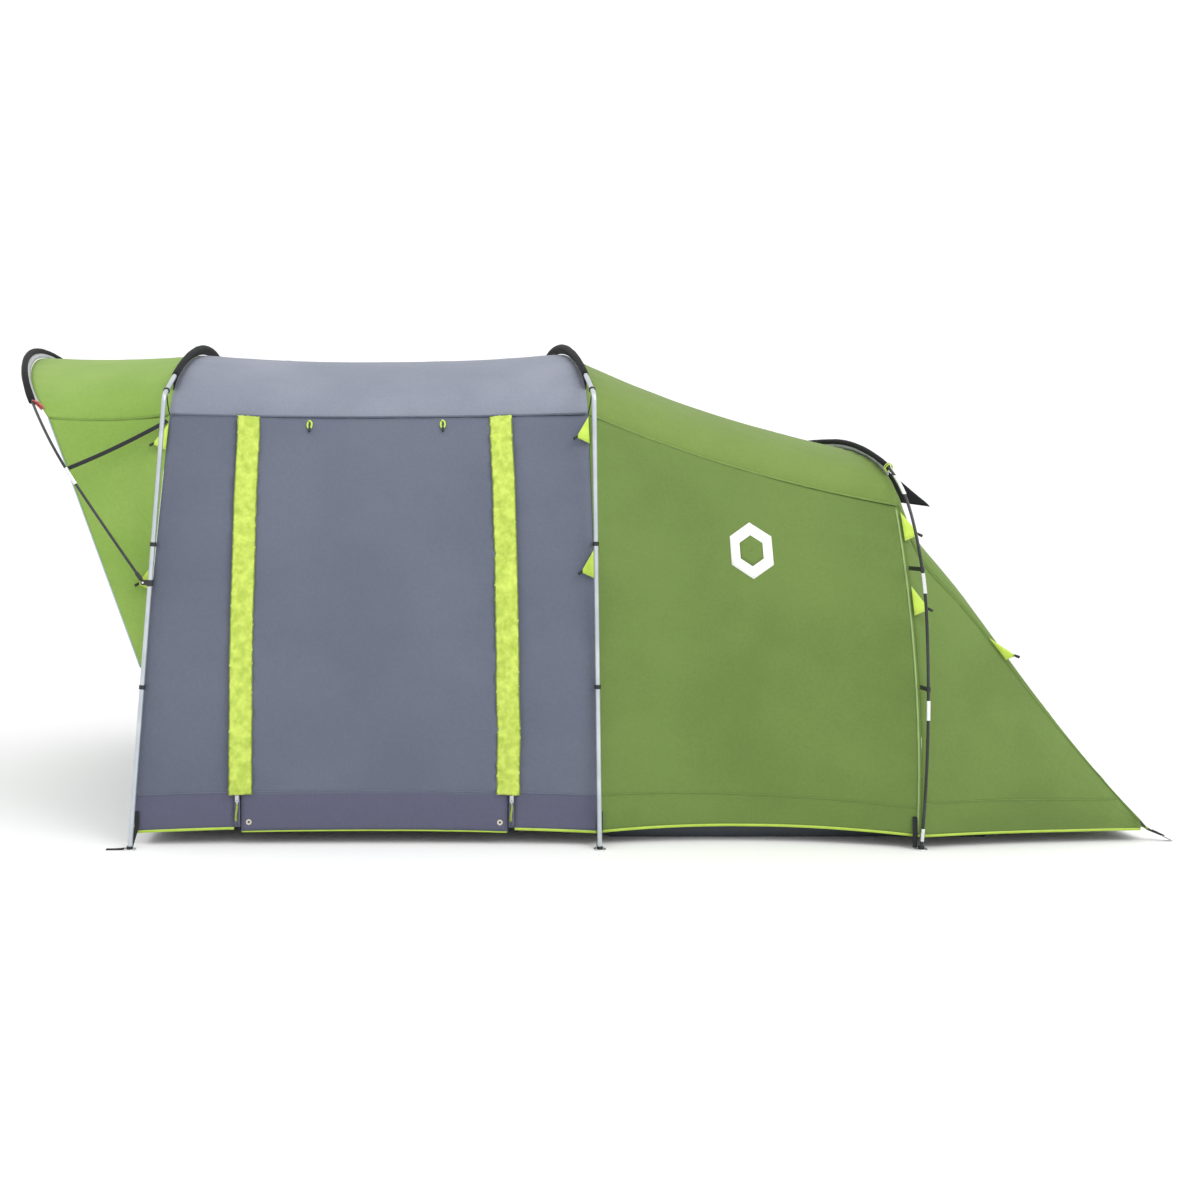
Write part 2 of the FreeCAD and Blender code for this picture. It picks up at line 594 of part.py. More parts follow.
# ---------------------------------------------------------------- canopy wings
def canopy_wing(side):
    seam_point = BOW.roof(90 * side)
    low = (size("wing_foot") - size("hem_height")) / (size("seam_height") - size("hem_height"))
    corner = FRONT.wall(low, side) - Vector(size("wing_tip"), 0, 0)
    rows = []
    for t in steps(5):
        row = []
        for f in steps(6, 0.0, size("wing_head")):
            start = FRONT.wall(low + (1 - low) * f, side) - Vector(EDGE, 0, 0)
            end = corner + (seam_point - corner) * f
            row.append(between(start, end, t, size("canopy_waist") * f, size("canopy_sag") * f))
        rows.append(row)
    return rows


for side_name, side in SIDES:
    feature(f"canopy_wing_{side_name}", cloth_solid(canopy_wing(side), Vector(X_FRONT, 0, 900)))


# ---------------------------------------------------------------- webs that hang the fly from its sleeves
def under_hoop(top, arcs, inset, low):
    """Points a distance inside a hoop, from the crown out to the end of its sleeve."""
    points = []
    y, z, angle = 0.0, top, 0.0
    for radius, turn in arcs:
        cy, cz = y - radius * math.sin(angle), z - radius * math.cos(angle)
        for part in steps(5):
            a = angle + turn * part
            point = (cy + (radius - inset) * math.sin(a), cz + (radius - inset) * math.cos(a))
            if point[1] > low and (not points or point[0] > points[-1][0] + 1):
                points.append(point)
        angle += turn
        y, z = cy + radius * math.sin(angle), cz + radius * math.cos(angle)
    return points


def web(section, hoop, low):
    """A flat strip in the hoop's plane, from the sleeve down to the seam of the roof."""
    half = under_hoop(*hoop, size("sleeve_radius") + size("web_stand"), low)
    upper = [Vector(0, -y, z) for y, z in reversed(half[1:])] + [Vector(0, y, z) for y, z in half]
    lower = []
    for point in upper:
        turn = math.degrees(math.asin(point.y / section.half))
        local = section.plane.inverse().multVec(section.roof(turn))
        lower.append(Vector(0, point.y, local.z + size("web_gap")))
    edges = []
    for line in (upper, lower):
        curve = Part.BSplineCurve()
        curve.interpolate(line)
        edges.append(curve.toShape())
    edges.append(Part.makeLine(upper[0], lower[0]))
    edges.append(Part.makeLine(upper[-1], lower[-1]))
    face = Part.Face(Part.Wire(Part.__sortEdges__(edges)))
    flat = face.extrude(Vector(size("web_thickness"), 0, 0))
    flat.translate(Vector(-size("web_thickness") / 2, 0, 0))
    return in_plane(section.plane, flat)


CROWN_HOOP = (CROWN_TOP, [(CROWN_R, math.asin(size("sleeve_half_width") / CROWN_R))])
feature("sleeve_webs", [web(FRONT, CROWN_HOOP, size("sleeve_height")),
                        web(MID, CROWN_HOOP, size("sleeve_height")),
                        web(REAR, REAR_HOOP, size("rear_sleeve_end"))])
feature("bow_web", web(BOW, BOW_HOOP, size("bow_sleeve_end")))


# ---------------------------------------------------------------- side doors, storm flaps and zips
def outward(point, side, x):
    """How the wall faces at a point, as a unit vector away from the tent."""
    f = (point.z - size("hem_height")) / (size("seam_height") - size("hem_height"))
    slope = living_wall(x, min(f + 0.02, 1), side) - living_wall(x, min(f + 0.02, 1) - 0.02, side)
    return Vector(0, side * slope.z, -side * slope.y).normalize()


def eyelet_places(side):
    """Centres and headings of the two eyelets at the foot of a side door."""
    places = []
    inset = HALF_ZIP + size("door_gap") + size("eyelet_inset")
    for x in (DOOR_START + inset, DOOR_END - inset):
        centre = living_wall(x, size("eyelet_inset") / size("seam_height"), side)
        places.append((centre, outward(centre, side, x)))
    return places


def disc(place, radius, thickness, back):
    centre, heading = place
    return Part.makeCylinder(radius, thickness, centre - heading * back, heading)


def side_door(side):
    rows = wall_panel(at_station(DOOR_START + HALF_ZIP + size("door_gap")),
                      at_station(DOOR_END - HALF_ZIP - size("door_gap")), side,
                      foot=-size("door_drop") / size("seam_height"), head=DOOR_TOP)
    door = cloth_solid(rows, CORE_LIVING)
    for place in eyelet_places(side):
        door = door.cut(disc(place, size("eyelet_radius") + size("eyelet_fit"), THROUGH, THROUGH / 2))
    return door


def storm_flap(x_zip, inner, side):
    """The cover over a zip: sewn to the door's side of it and standing off the wall on the other."""
    foot = size("flap_foot") / size("seam_height")
    head = 1 - size("flap_head") / size("seam_height")
    rows = []
    for across in steps(4):
        x = x_zip + inner * (size("flap_width") - size("flap_overhang") - size("flap_width") * across)
        swell = math.sin(math.pi * min(across, size("flap_crest")) / 1.5)
        lift = size("cloth") + (size("flap_lift") - size("cloth")) * swell
        row = []
        for f in steps(7, foot, head):
            point = living_wall(x, f, side)
            row.append(point + outward(point, side, x) * lift)
        rows.append(row)
    return cloth_solid(rows, CORE_LIVING, size("flap_thickness"))


def zip_tape(x_zip, side):
    edge = HALF_ZIP - EDGE / 2
    rows = wall_panel(at_station(x_zip - edge), at_station(x_zip + edge), side, size("zip_foot"), DOOR_TOP)
    return cloth_solid(rows, CORE_LIVING, size("zip_thickness"))


def slider(x_zip, side):
    """A zip's slider with its puller hanging below it, flat on the zip near the foot of the wall."""
    f = size("slider_start") / size("seam_height")
    base = living_wall(x_zip, f, side)
    up = (living_wall(x_zip, f + 0.01, side) - base).normalize()
    out = outward(base, side, x_zip)
    frame = Placement(base + out * size("slider_gap"), Rotation(up.cross(out), up, out, "ZYX"))
    half_length, half_width = size("slider_length") / 2, size("slider_width") / 2
    block = Part.makeBox(size("slider_width"), size("slider_length"), size("slider_thickness"),
                         Vector(-half_width, -half_length, 0))
    block = block.cut(Part.makeCylinder(size("slider_hole"), THROUGH,
                                        Vector(0, -half_length + size("slider_eye"), -THROUGH / 2)))
    puller_foot = -half_length - size("puller_length") - size("puller_gap")
    puller = Part.makeBox(size("puller_width"), size("puller_length"), size("puller_thickness"),
                          Vector(-size("puller_width") / 2, puller_foot, size("puller_lift")))
    solids = [block, puller]
    for solid in solids:
        solid.Placement = frame.multiply(solid.Placement)
    return solids


for side_name, side in SIDES:
    feature(f"side_door_{side_name}", side_door(side))
    feature(f"storm_flaps_{side_name}", [storm_flap(DOOR_START, 1, side), storm_flap(DOOR_END, -1, side)])
    eyelet_back = size("eyelet_thickness") / 2 + size("eyelet_stand")
    feature(f"door_eyelets_{side_name}",
            [disc(place, size("eyelet_radius"), size("eyelet_thickness"), eyelet_back)
             .cut(disc(place, size("eyelet_bore"), THROUGH, THROUGH / 2)) for place in eyelet_places(side)])
    for end_name, x_zip in (("front", DOOR_START), ("rear", DOOR_END)):
        feature(f"zip_slider_{side_name}_{end_name}", slider(x_zip, side))

feature("side_zips", [zip_tape(x_zip, side) for _, side in SIDES for x_zip in (DOOR_START, DOOR_END)])


# ---------------------------------------------------------------- front wall and door
def in_front_plane(shift):
    return FRONT_PLANE * Placement(Vector(shift, 0, 0), Rotation())


def front_outline(inset):
    """The front wall's edge, a little inside the fly, as points from the near foot over to the far one."""
    back = FRONT_PLANE.inverse()
    near = [back.multVec(FRONT.wall(f, -1)) + Vector(0, inset, 0) for f in steps(7)]
    far = [Vector(0, -p.y, p.z) for p in reversed(near)]
    shrink = 1 - inset / size("seam_half")
    over = []
    for turn in steps(13, -90, 90):
        local = back.multVec(FRONT.roof(turn))
        over.append(Vector(0, local.y * shrink, local.z - inset * math.cos(math.radians(turn))))
    return near, over, far


def front_wall():
    lines = front_outline(size("panel_inset"))
    edges = []
    for line in lines:
        curve = Part.BSplineCurve()
        curve.interpolate(line)
        edges.append(curve.toShape())
    edges.append(Part.makeLine(lines[2][-1], lines[0][0]))
    wall = Part.Face(Part.Wire(Part.__sortEdges__(edges))).extrude(Vector(size("cloth"), 0, 0))
    gap = size("door_gap")
    half = size("front_door_half") + gap
    sill, top = size("front_door_sill") - gap, size("front_door_top") + gap
    hole = Part.makeBox(THROUGH, 2 * half, top - sill, Vector(-THROUGH / 2, -half, sill))
    corners = [edge for edge in hole.Edges
               if abs(edge.Vertexes[0].Z - top) + abs(edge.Vertexes[-1].Z - top) < 1
               and abs(edge.Vertexes[0].Y - edge.Vertexes[-1].Y) < 1]
    return in_plane(in_front_plane(size("panel_setback")),
                    wall.cut(hole.makeFillet(size("door_corner") + gap, corners)))


feature("front_wall", front_wall())
door = new_body("front_door", in_front_plane(size("panel_setback")))
door_sketch = new_sketch(door, "YZ_Plane", "front_door_outline")
outline(door_sketch, [("Sizes.front_door_half", "Sizes.front_door_sill"),
                      ("Sizes.front_door_half", "Sizes.front_door_top"),
                      ("-Sizes.front_door_half", "Sizes.front_door_top"),
                      ("-Sizes.front_door_half", "Sizes.front_door_sill")])
door_pad = pad(door, door_sketch, cell("cloth"), middle=False)
doc.recompute()
top_edges = [f"Edge{k + 1}" for k, edge in enumerate(door_pad.Shape.Edges)
             if min(v.Z for v in edge.Vertexes) > size("front_door_top") - 1
             and abs(edge.Vertexes[0].X - edge.Vertexes[-1].X) > 1]
door_round = door.newObject("PartDesign::Fillet", "front_door_corners")
door_round.Base = (door_pad, top_edges)
door_round.setExpression("Radius", cell("door_corner"))

# ---------------------------------------------------------------- rear brow
HOOD_TURN = math.degrees(math.asin(size("hood_half_width") / size("rear_seam_half")))
HOOD_OUT = Vector(size("hood_root_gap"), 0, 0)


def hood_lip(turn):
    return REAR.roof(turn) + Vector(size("hood_reach"), 0, -size("hood_drop"))


def hood_gusset(side):
    """The three-cornered cheek that closes the brow's end, a little inside its edge and under it."""
    inset = size("gusset_inset")
    corners = [REAR.roof(HOOD_TURN * side) + HOOD_OUT * 2,
               hood_lip(HOOD_TURN * side) - Vector(size("gusset_setback"), 0, 0),
               rear_wall_point(size("gusset_foot"), HOOD_TURN * side) + HOOD_OUT * 2]
    corners = [Vector(p.x, side * (size("hood_half_width") - inset), p.z - inset) for p in corners]
    face = Part.Face(Part.makePolygon(corners + corners[:1]))
    return face.extrude(Vector(0, -side * size("flap_thickness"), 0))


hood_rows = [[REAR.roof(turn) + HOOD_OUT + (hood_lip(turn) - REAR.roof(turn) - HOOD_OUT) * t
              for turn in steps(13, -HOOD_TURN, HOOD_TURN)] for t in steps(4)]
feature("rear_brow", [cloth_solid(hood_rows, Vector(X_REAR, 0, 200)), hood_gusset(-1), hood_gusset(1)])


# ---------------------------------------------------------------- clips, ties, feet and straps
def leg_out(height):
    """How far a steel leg's middle line stands from the tent's middle at a height in its own plane."""
    lean_in = (size("leg_half_width") - size("elbow_half_width")) / size("elbow_height")
    return size("leg_half_width") - lean_in * height


def rear_out(height):
    return line_at(*REAR_HOOP, height, 1)[0].y


def wall_out(section, height):
    f = (height - size("hem_height")) / (section.seam - size("hem_height"))
    return abs(section.wall(f, 1).y)


def leg_line(height):
    """A steel leg's middle line at a height in its own plane: the point and the upward heading."""
    return Vector(0, leg_out(height), height), Vector(0, leg_out(1) - leg_out(0), 1).normalize()


def rear_line(height):
    return line_at(*REAR_HOOP, height, 1)


def clip(section, line, height, radius, side, reach):
    """A ring on the pole with a tongue that reaches the seam of the wall."""
    middle, heading = line(height)
    ring = Part.makeCylinder(radius + size("clip_wall"), size("clip_height"), middle, heading)
    cloth_at = wall_out(section, height + size("clip_height") / 2) + reach
    tongue = Part.makeBox(size("clip_wall"), middle.y - cloth_at, size("clip_height"),
                          Vector(-size("clip_wall") / 2, cloth_at, height))
    bore = Part.makeCylinder(radius + size("clip_fit"), THROUGH, middle - heading * (THROUGH / 2), heading)
    return in_plane(section.plane if side > 0 else section.plane * TURN_ROUND, ring.fuse(tongue).cut(bore))


leg_clips = [clip(section, leg_line, size(level), size("leg_radius"), side, size("clip_reach"))
             for section in (FRONT, MID) for level in ("clip_low", "clip_high") for _, side in SIDES]
feature("leg_clips", leg_clips)
rear_reach = size("clip_reach") + size("ridge_gap")
feature("rear_clips", [clip(REAR, rear_line, size(level), size("rear_pole_radius"), side, rear_reach)
                       for level in ("rear_clip_low", "rear_clip_high") for _, side in SIDES])


def elbow_tie(section, side):
    """A ring just above a steel elbow and the elastic from it to the roof's seam."""
    rise = size("sleeve_height") - size("elbow_height")
    run = size("elbow_half_width") - size("sleeve_half_width")
    along = Vector(0, -run, rise).normalize()
    at = Vector(0, size("elbow_half_width"), size("elbow_height")) + along * size("collar_rise")
    ring_radius = size("leg_radius") + size("collar_bar") + size("collar_gap")
    ring = Part.makeTorus(ring_radius, size("collar_bar"), at, along)
    start = at + Vector(0, along.y, -along.z) * size("elastic_stand") - Vector(0, size("elastic_radius"), 0)
    end = Vector(0, section.half + size("elastic_end_out"), section.seam + size("elastic_end_up"))
    cord = Part.makeCylinder(size("elastic_radius"), (end - start).Length, start, end - start)
    place = section.plane if side > 0 else section.plane * TURN_ROUND
    return [in_plane(place, ring), in_plane(place, cord)]


ties = [elbow_tie(section, side) for section in (FRONT, MID) for _, side in SIDES]
feature("elbow_ties", [piece for pair in ties for piece in pair])


def strip(start, end, width, thickness, across):
    """A flat strap between two points, its width laid along a given direction."""
    along = (end - start).normalize()
    up = along.cross(across).normalize()
    wide = up.cross(along)
    corner = start - wide * (width / 2) - up * (thickness / 2)
    box = Part.makeBox((end - start).Length, width, thickness)
    box.Placement = Placement(corner, Rotation(along, wide, up, "XYZ"))
    return box


ALONG = Vector(1, 0, 0)
plugs, rings, straps = [], [], []
feet = ((FRONT, leg_out, "leg_radius"), (MID, leg_out, "leg_radius"), (REAR, rear_out, "rear_pole_radius"))
for section, out, radius in feet:
    for side_name, side in SIDES:
        foot = section.plane.multVec(Vector(0, side * out(0), 0))
        higher = section.plane.multVec(Vector(0, side * out(60), 60))
        plug = Part.makeCylinder(size("plug_radius"), size("plug_height"), foot)
        axis = higher - foot
        start = foot + axis * (size("foot_rise") / 60)
        plug = plug.cut(Part.makeCylinder(size(radius) + size("plug_fit"), THROUGH, start, axis))
        plugs.append(plug)
        ring_at = foot + Vector(0, 0, size("ring_bar"))
        rings.append(Part.makeTorus(size("ring_radius"), size("ring_bar"), ring_at))
        hem = section.wall(size("strap_root"), side) + Vector(0, side * size("strap_stand"), 0)
        end = foot + Vector(0, 0, 2 * (size("ring_bar") + size("strap_thickness")))
        if abs(hem.y) > abs(foot.y):
            hem -= ALONG * size("strap_aside")
            end -= ALONG * size("strap_aside")
        else:
            end -= Vector(0, side * size("ring_radius"), 0)
        straps.append(strip(hem, end, size("strap_width"), size("strap_thickness"), ALONG))
feature("foot_plugs", plugs)
feature("foot_rings", rings)
feature("foot_straps", straps)

pegs, buckles = [], []
for side_name, side in SIDES:
    foot = FRONT.plane.multVec(Vector(0, side * leg_out(0), 0))
    start = foot - Vector(size("ring_radius") + size("peg_gap"), 0, -size("strap_thickness") / 2)
    pegs.append(strip(start, start - ALONG * size("peg_loop_length"), size("strap_width"),
                      size("strap_thickness"), Vector(0, 1, 0)))
    start = tail_corner(side) + Vector(size("seam_gap"), -side * size("tail_strap_inset"), 0)
    end = Vector(X_TAIL + size("tail_strap_run"), start.y, size("strap_thickness"))
    pegs.append(strip(start, end, size("strap_width"), size("strap_thickness"), Vector(0, 1, 0)))
    middle = start + (end - start) * size("buckle_place")
    slope = (end - start).normalize()
    out = slope.cross(Vector(0, -1, 0))
    out = out if out.z > 0 else out * -1
    length, width, deep = (size(f"buckle_{part}") for part in ("length", "width", "thickness"))
    frame = Part.makeBox(length, width, deep, Vector(-length / 2, -width / 2, 0))
    bar = size("buckle_bar")
    for x in (-length / 2 + bar, bar / 2):
        corner = Vector(x, bar - width / 2, -deep)
        frame = frame.cut(Part.makeBox((length - 3 * bar) / 2, width - 2 * bar, 3 * deep, corner))
    frame.Placement = Placement(middle + out * (size("strap_thickness") / 2 + size("buckle_lift")),
                                Rotation(slope, Vector(0, 1, 0), out, "XYZ"))
    buckles.append(frame)
feature("peg_straps", pegs)
feature("tail_buckles", buckles)


# ---------------------------------------------------------------- canopy pivots and braces
def pivot_parts(side):
    """One side's clamp on the steel leg, the pin through its ears and the bow's eye between them."""
    line, heading = line_at(*BOW_HOOP, size("pivot_foot"), 1)
    pin_at = BOW_PLANE.multVec(Vector(0, side * line.y, 0))
    turn = Vector(0, 1, 0)
    half_eye = size("eye_width") / 2
    ear_in = half_eye + size("ear_gap")
    leg_at = FRONT_PLANE.multVec(Vector(0, side * leg_out(size("pivot_height")), size("pivot_height")))
    low = size("pivot_clamp_height") / 2
    clamp_radius = size("leg_radius") + size("pivot_clamp_wall")
    clamp = Part.makeCylinder(clamp_radius, 2 * low, leg_at - Vector(0, 0, low))
    for inner in (ear_in, -ear_in - size("ear_thickness")):
        ear = Part.makeCylinder(size("ear_radius"), size("ear_thickness"), pin_at + turn * inner, turn)
        arm = Part.makeBox(leg_at.x - pin_at.x, size("ear_thickness"), 2 * size("ear_radius"),
                           pin_at + Vector(0, inner, -size("ear_radius")))
        clamp = clamp.fuse(ear).fuse(arm)
    leg_axis = FRONT_PLANE.multVec(Vector(0, side * leg_out(1200), 1200)) - leg_at
    clamp = clamp.cut(Part.makeCylinder(size("leg_radius") + size("leg_clamp_fit"), THROUGH,
                                        leg_at - leg_axis * 0.5, leg_axis))
    behind = size("eye_radius") + size("eye_room")
    gap = Part.makeBox(2 * behind - size("eye_room"), 2 * ear_in, THROUGH,
                       pin_at - Vector(behind, ear_in, THROUGH / 2))
    clamp = clamp.cut(gap)
    reach = ear_in + size("ear_thickness") + size("pin_head")
    pin = Part.makeCylinder(size("pivot_pin_radius"), 2 * reach, pin_at - turn * reach, turn)
    clamp = clamp.cut(pin)
    local = Part.makeCylinder(size("eye_radius"), size("eye_width"),
                              Vector(0, side * line.y - half_eye, 0), turn)
    neck = Part.makeBox(size("neck_width"), size("eye_width"), size("socket_start"),
                        Vector(-size("neck_width") / 2, side * line.y - half_eye, 0))
    pole_axis = Vector(0, side * heading.y, heading.z)
    foot = Vector(0, side * line.y, 0)
    socket = Part.makeCylinder(size("socket_radius"), size("socket_length"),
                               foot + pole_axis * size("socket_rise"), pole_axis)
    bore = Part.makeCylinder(size("bow_pole_radius") + size("socket_fit"), THROUGH,
                             foot + pole_axis * size("socket_start"), pole_axis)
    eye = local.fuse(neck).fuse(socket).cut(bore)
    eye = eye.cut(Part.makeCylinder(size("pivot_pin_radius") + size("pivot_clearance"), THROUGH,
                                    foot - turn * (THROUGH / 2), turn))
    return clamp, pin, in_plane(BOW_PLANE, eye)


pivots = [pivot_parts(side) for _, side in SIDES]
feature("pivot_clamps", [parts[0] for parts in pivots])
feature("pivot_pins", [parts[1] for parts in pivots])
feature("bow_sockets", [parts[2] for parts in pivots])

braces = []
for _, side in SIDES:
    at_bow = line_at(*BOW_HOOP, size("brace_height"), side)[0]
    end = FRONT.wall(size("brace_root"), side) + Vector(-size("brace_ahead"), side * size("brace_out"), 0)
    start = BOW_PLANE.multVec(at_bow)
    start += (end - start).normalize() * (size("ferrule_radius") + size("brace_gap"))
    braces.append(strip(start, end, size("brace_width"), size("strap_thickness"), Vector(0, 0, 1)))
feature("canopy_braces", braces)


# ---------------------------------------------------------------- guy points
def guy_point(start, direction, side):
    """A triangle of webbing sewn at a seam, with a runner at its tip. start is the seam's upper point."""
    stand = Vector(0, side * size("guy_tab_stand"), 0)
    low = start[1] + stand
    high = start[0] + stand
    tip = (low * 2 + high) * (1 / 3)
    tip += Vector(direction * size("guy_tab_reach"), side * size("guy_tip_out"), -size("guy_tip_drop"))
    face = Part.Face(Part.makePolygon([low, high, tip, low]))
    normal = face.normalAt(0, 0)
    tab = face.extrude(normal * size("flap_thickness"))
    away = (tip - (low + high) * 0.5).normalize()
    runner_foot = tip + away * size("runner_gap")
    runner = Part.makeCylinder(size("runner_radius"), size("runner_length"), runner_foot, away)
    return tab, runner


def seam_span(section, high, side):
    span = size("guy_tab_length") / (section.seam - size("hem_height"))
    top = (high - size("hem_height")) / (section.seam - size("hem_height"))
    return section.wall(top, side), section.wall(top - span, side)


guys = []
for _, side in SIDES:
    for section, hoop, direction in ((FRONT, "front", -1), (MID, "mid", -1), (REAR, "rear", 1)):
        for level in ("high", "low"):
            span = seam_span(section, size(f"guy_{hoop}_{level}"), side)
            guys.append(guy_point(span, direction, side))
    ridge = [tail_side(side)[5][-1], tail_side(side)[6][-1]]
    guys.append(guy_point([ridge[0], ridge[0] + (ridge[1] - ridge[0]).normalize() * size("guy_tab_length")],
                          1, side))
feature("guy_tabs", [pair[0] for pair in guys])
feature("guy_runners", [pair[1] for pair in guys])

# ---------------------------------------------------------------- floor and inner wall
FLOOR_START = X_MID + size("floor_front_gap")
FLOOR_LENGTH = X_REAR + size("floor_tail") - FLOOR_START
tray = new_body("bedroom_floor", Placement(Vector(FLOOR_START, 0, 0), Rotation()))
tray_sketch = new_sketch(tray, "XY_Plane", "bedroom_floor_outline")
floor_run = "(Sizes.bedroom_bay + Sizes.floor_tail - Sizes.floor_front_gap)"
outline(tray_sketch, [(floor_run, "Sizes.floor_half"), ("0", "Sizes.floor_half"),
                      ("0", "-Sizes.floor_half"), (floor_run, "-Sizes.floor_half")])
pad(tray, tray_sketch, cell("tub_height"), middle=False)
hollow_sketch = new_sketch(tray, "XY_Plane", "bedroom_floor_hollow", offset=cell("tub_height"))
wall = "Sizes.floor_thickness"
tray_end, tray_side = f"{floor_run} - {wall}", f"Sizes.floor_half - {wall}"
outline(hollow_sketch, [(tray_end, tray_side), (wall, tray_side),
                        (wall, f"-({tray_side})"), (tray_end, f"-({tray_side})")])
hollow = tray.newObject("PartDesign::Pocket", "bedroom_floor_pocket")
hollow.Profile = hollow_sketch
hollow.setExpression("Length", f"Sizes.tub_height - {wall}")

inner = new_body("inner_wall", Placement(Vector(FLOOR_START + 2 * size("floor_thickness"), 0, 0), Rotation()))
inner_sketch = new_sketch(inner, "YZ_Plane", "inner_wall_outline")
inner_foot = "Sizes.floor_thickness + Sizes.inner_foot_gap"
inner_half = "Sizes.floor_half - Sizes.inner_side_gap"
outline(inner_sketch, [(inner_half, inner_foot),
                       ("Sizes.inner_top_half", "Sizes.inner_height"),
                       ("-Sizes.inner_top_half", "Sizes.inner_height"),
                       (f"-({inner_half})", inner_foot)])
pad(inner, inner_sketch, cell("cloth"), middle=False)
doorway_sketch = new_sketch(inner, "YZ_Plane", "inner_wall_doorway")
outline(doorway_sketch, [("Sizes.inner_door_half", "Sizes.inner_door_sill"),
                         ("Sizes.inner_door_half", "Sizes.inner_door_top"),
                         ("-Sizes.inner_door_half", "Sizes.inner_door_top"),
                         ("-Sizes.inner_door_half", "Sizes.inner_door_sill")])
doorway = inner.newObject("PartDesign::Pocket", "inner_wall_cut")
doorway.Profile = doorway_sketch
doorway.Type = "ThroughAll"
doorway.Midplane = True

# ---------------------------------------------------------------- check and write
doc.recompute()
for obj in doc.Objects:
    if "Invalid" in obj.State or "Error" in obj.State:
        raise RuntimeError(f"{obj.Name} failed: {obj.State} {obj.getStatusString()}")
os.makedirs("parts", exist_ok=True)
for obj in made:
    if obj.Shape.isNull() or not obj.Shape.isValid() or not obj.Shape.Solids:
        raise RuntimeError(f"{obj.Label} has no valid shape")
for obj in made:
    obj.Shape.exportStep(f"parts/{obj.Label}.step")
print(f"{len(made)} parts written")
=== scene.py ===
"""The looks of a tunnel tent on four hoops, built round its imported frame.

The frame is in metres, +X from the porch to the tail, +Y from the near side to the far side, +Z up.
Cloth panels are grids over the same sections as the frame's panels, with their creases added.
"""
import logging
import math
from dataclasses import dataclass, field
from enum import Enum
from typing import Callable, Sequence

import bpy
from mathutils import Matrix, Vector, noise


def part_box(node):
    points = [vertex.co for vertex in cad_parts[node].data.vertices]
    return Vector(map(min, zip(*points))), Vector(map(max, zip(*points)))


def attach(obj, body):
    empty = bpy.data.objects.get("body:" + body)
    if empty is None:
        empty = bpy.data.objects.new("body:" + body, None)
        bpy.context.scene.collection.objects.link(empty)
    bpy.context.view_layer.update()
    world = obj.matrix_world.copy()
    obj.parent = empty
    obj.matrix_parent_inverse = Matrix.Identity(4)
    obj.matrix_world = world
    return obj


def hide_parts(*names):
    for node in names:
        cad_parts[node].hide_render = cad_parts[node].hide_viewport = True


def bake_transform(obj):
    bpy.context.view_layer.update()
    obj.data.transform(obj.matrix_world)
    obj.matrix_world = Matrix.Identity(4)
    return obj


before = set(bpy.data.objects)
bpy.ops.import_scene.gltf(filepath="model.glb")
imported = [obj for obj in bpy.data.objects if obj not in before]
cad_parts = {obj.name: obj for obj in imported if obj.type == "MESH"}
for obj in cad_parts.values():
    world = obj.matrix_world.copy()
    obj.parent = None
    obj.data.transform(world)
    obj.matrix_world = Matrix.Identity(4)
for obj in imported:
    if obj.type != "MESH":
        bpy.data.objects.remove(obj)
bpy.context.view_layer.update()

logging.basicConfig(level=logging.INFO, format="%(message)s")
LOG = logging.getLogger("tent")

ROOT = "pitched_tent"
BOW_BODY = "canopy_bow"
NEAR, FAR = -1, 1
SIDE_NAMES = {NEAR: "near", FAR: "far"}
MM = 0.001

Surface = Callable[[float, float], Vector]
Relief = Callable[[float, float], float]


# ------------------------------------------------------------------ finishes
def linear(code: str) -> tuple[float, float, float, float]:
    """Turns an sRGB hex colour to linear light.

    Args:
        code: Six hex digits.

    Returns:
        Red, green, blue and an alpha of 1.
    """
    channels = [int(code[i:i + 2], 16) / 255 for i in (0, 2, 4)]
    return tuple(c / 12.92 if c <= 0.04045 else ((c + 0.055) / 1.055) ** 2.4 for c in channels) + (1.0,)


def add_node(tree: bpy.types.NodeTree, kind: str, settings: dict, links: dict) -> bpy.types.Node:
    """Adds a node with its settings and incoming links.

    Args:
        tree: The material's node tree.
        kind: Blender's name of the node type.
        settings: Attributes, or input sockets where the key is a socket's name or number.
        links: Input socket to the output socket that feeds it.

    Returns:
        The new node.
    """
    node = tree.nodes.new(kind)
    for key, value in settings.items():
        if isinstance(key, str) and hasattr(node, key):
            setattr(node, key, value)
        else:
            node.inputs[key].default_value = value
    for key, source in links.items():
        tree.links.new(source, node.inputs[key])
    return node


def band_scale(period_mm: float) -> float:
    """The Wave Texture's scale for bands of a given period."""
    return 2 * math.pi / (20 * period_mm * MM)


class Weave(Enum):
    """How a cloth's threads cross."""

    PLAIN = "BANDS"
    TWILL = "DIAGONAL"


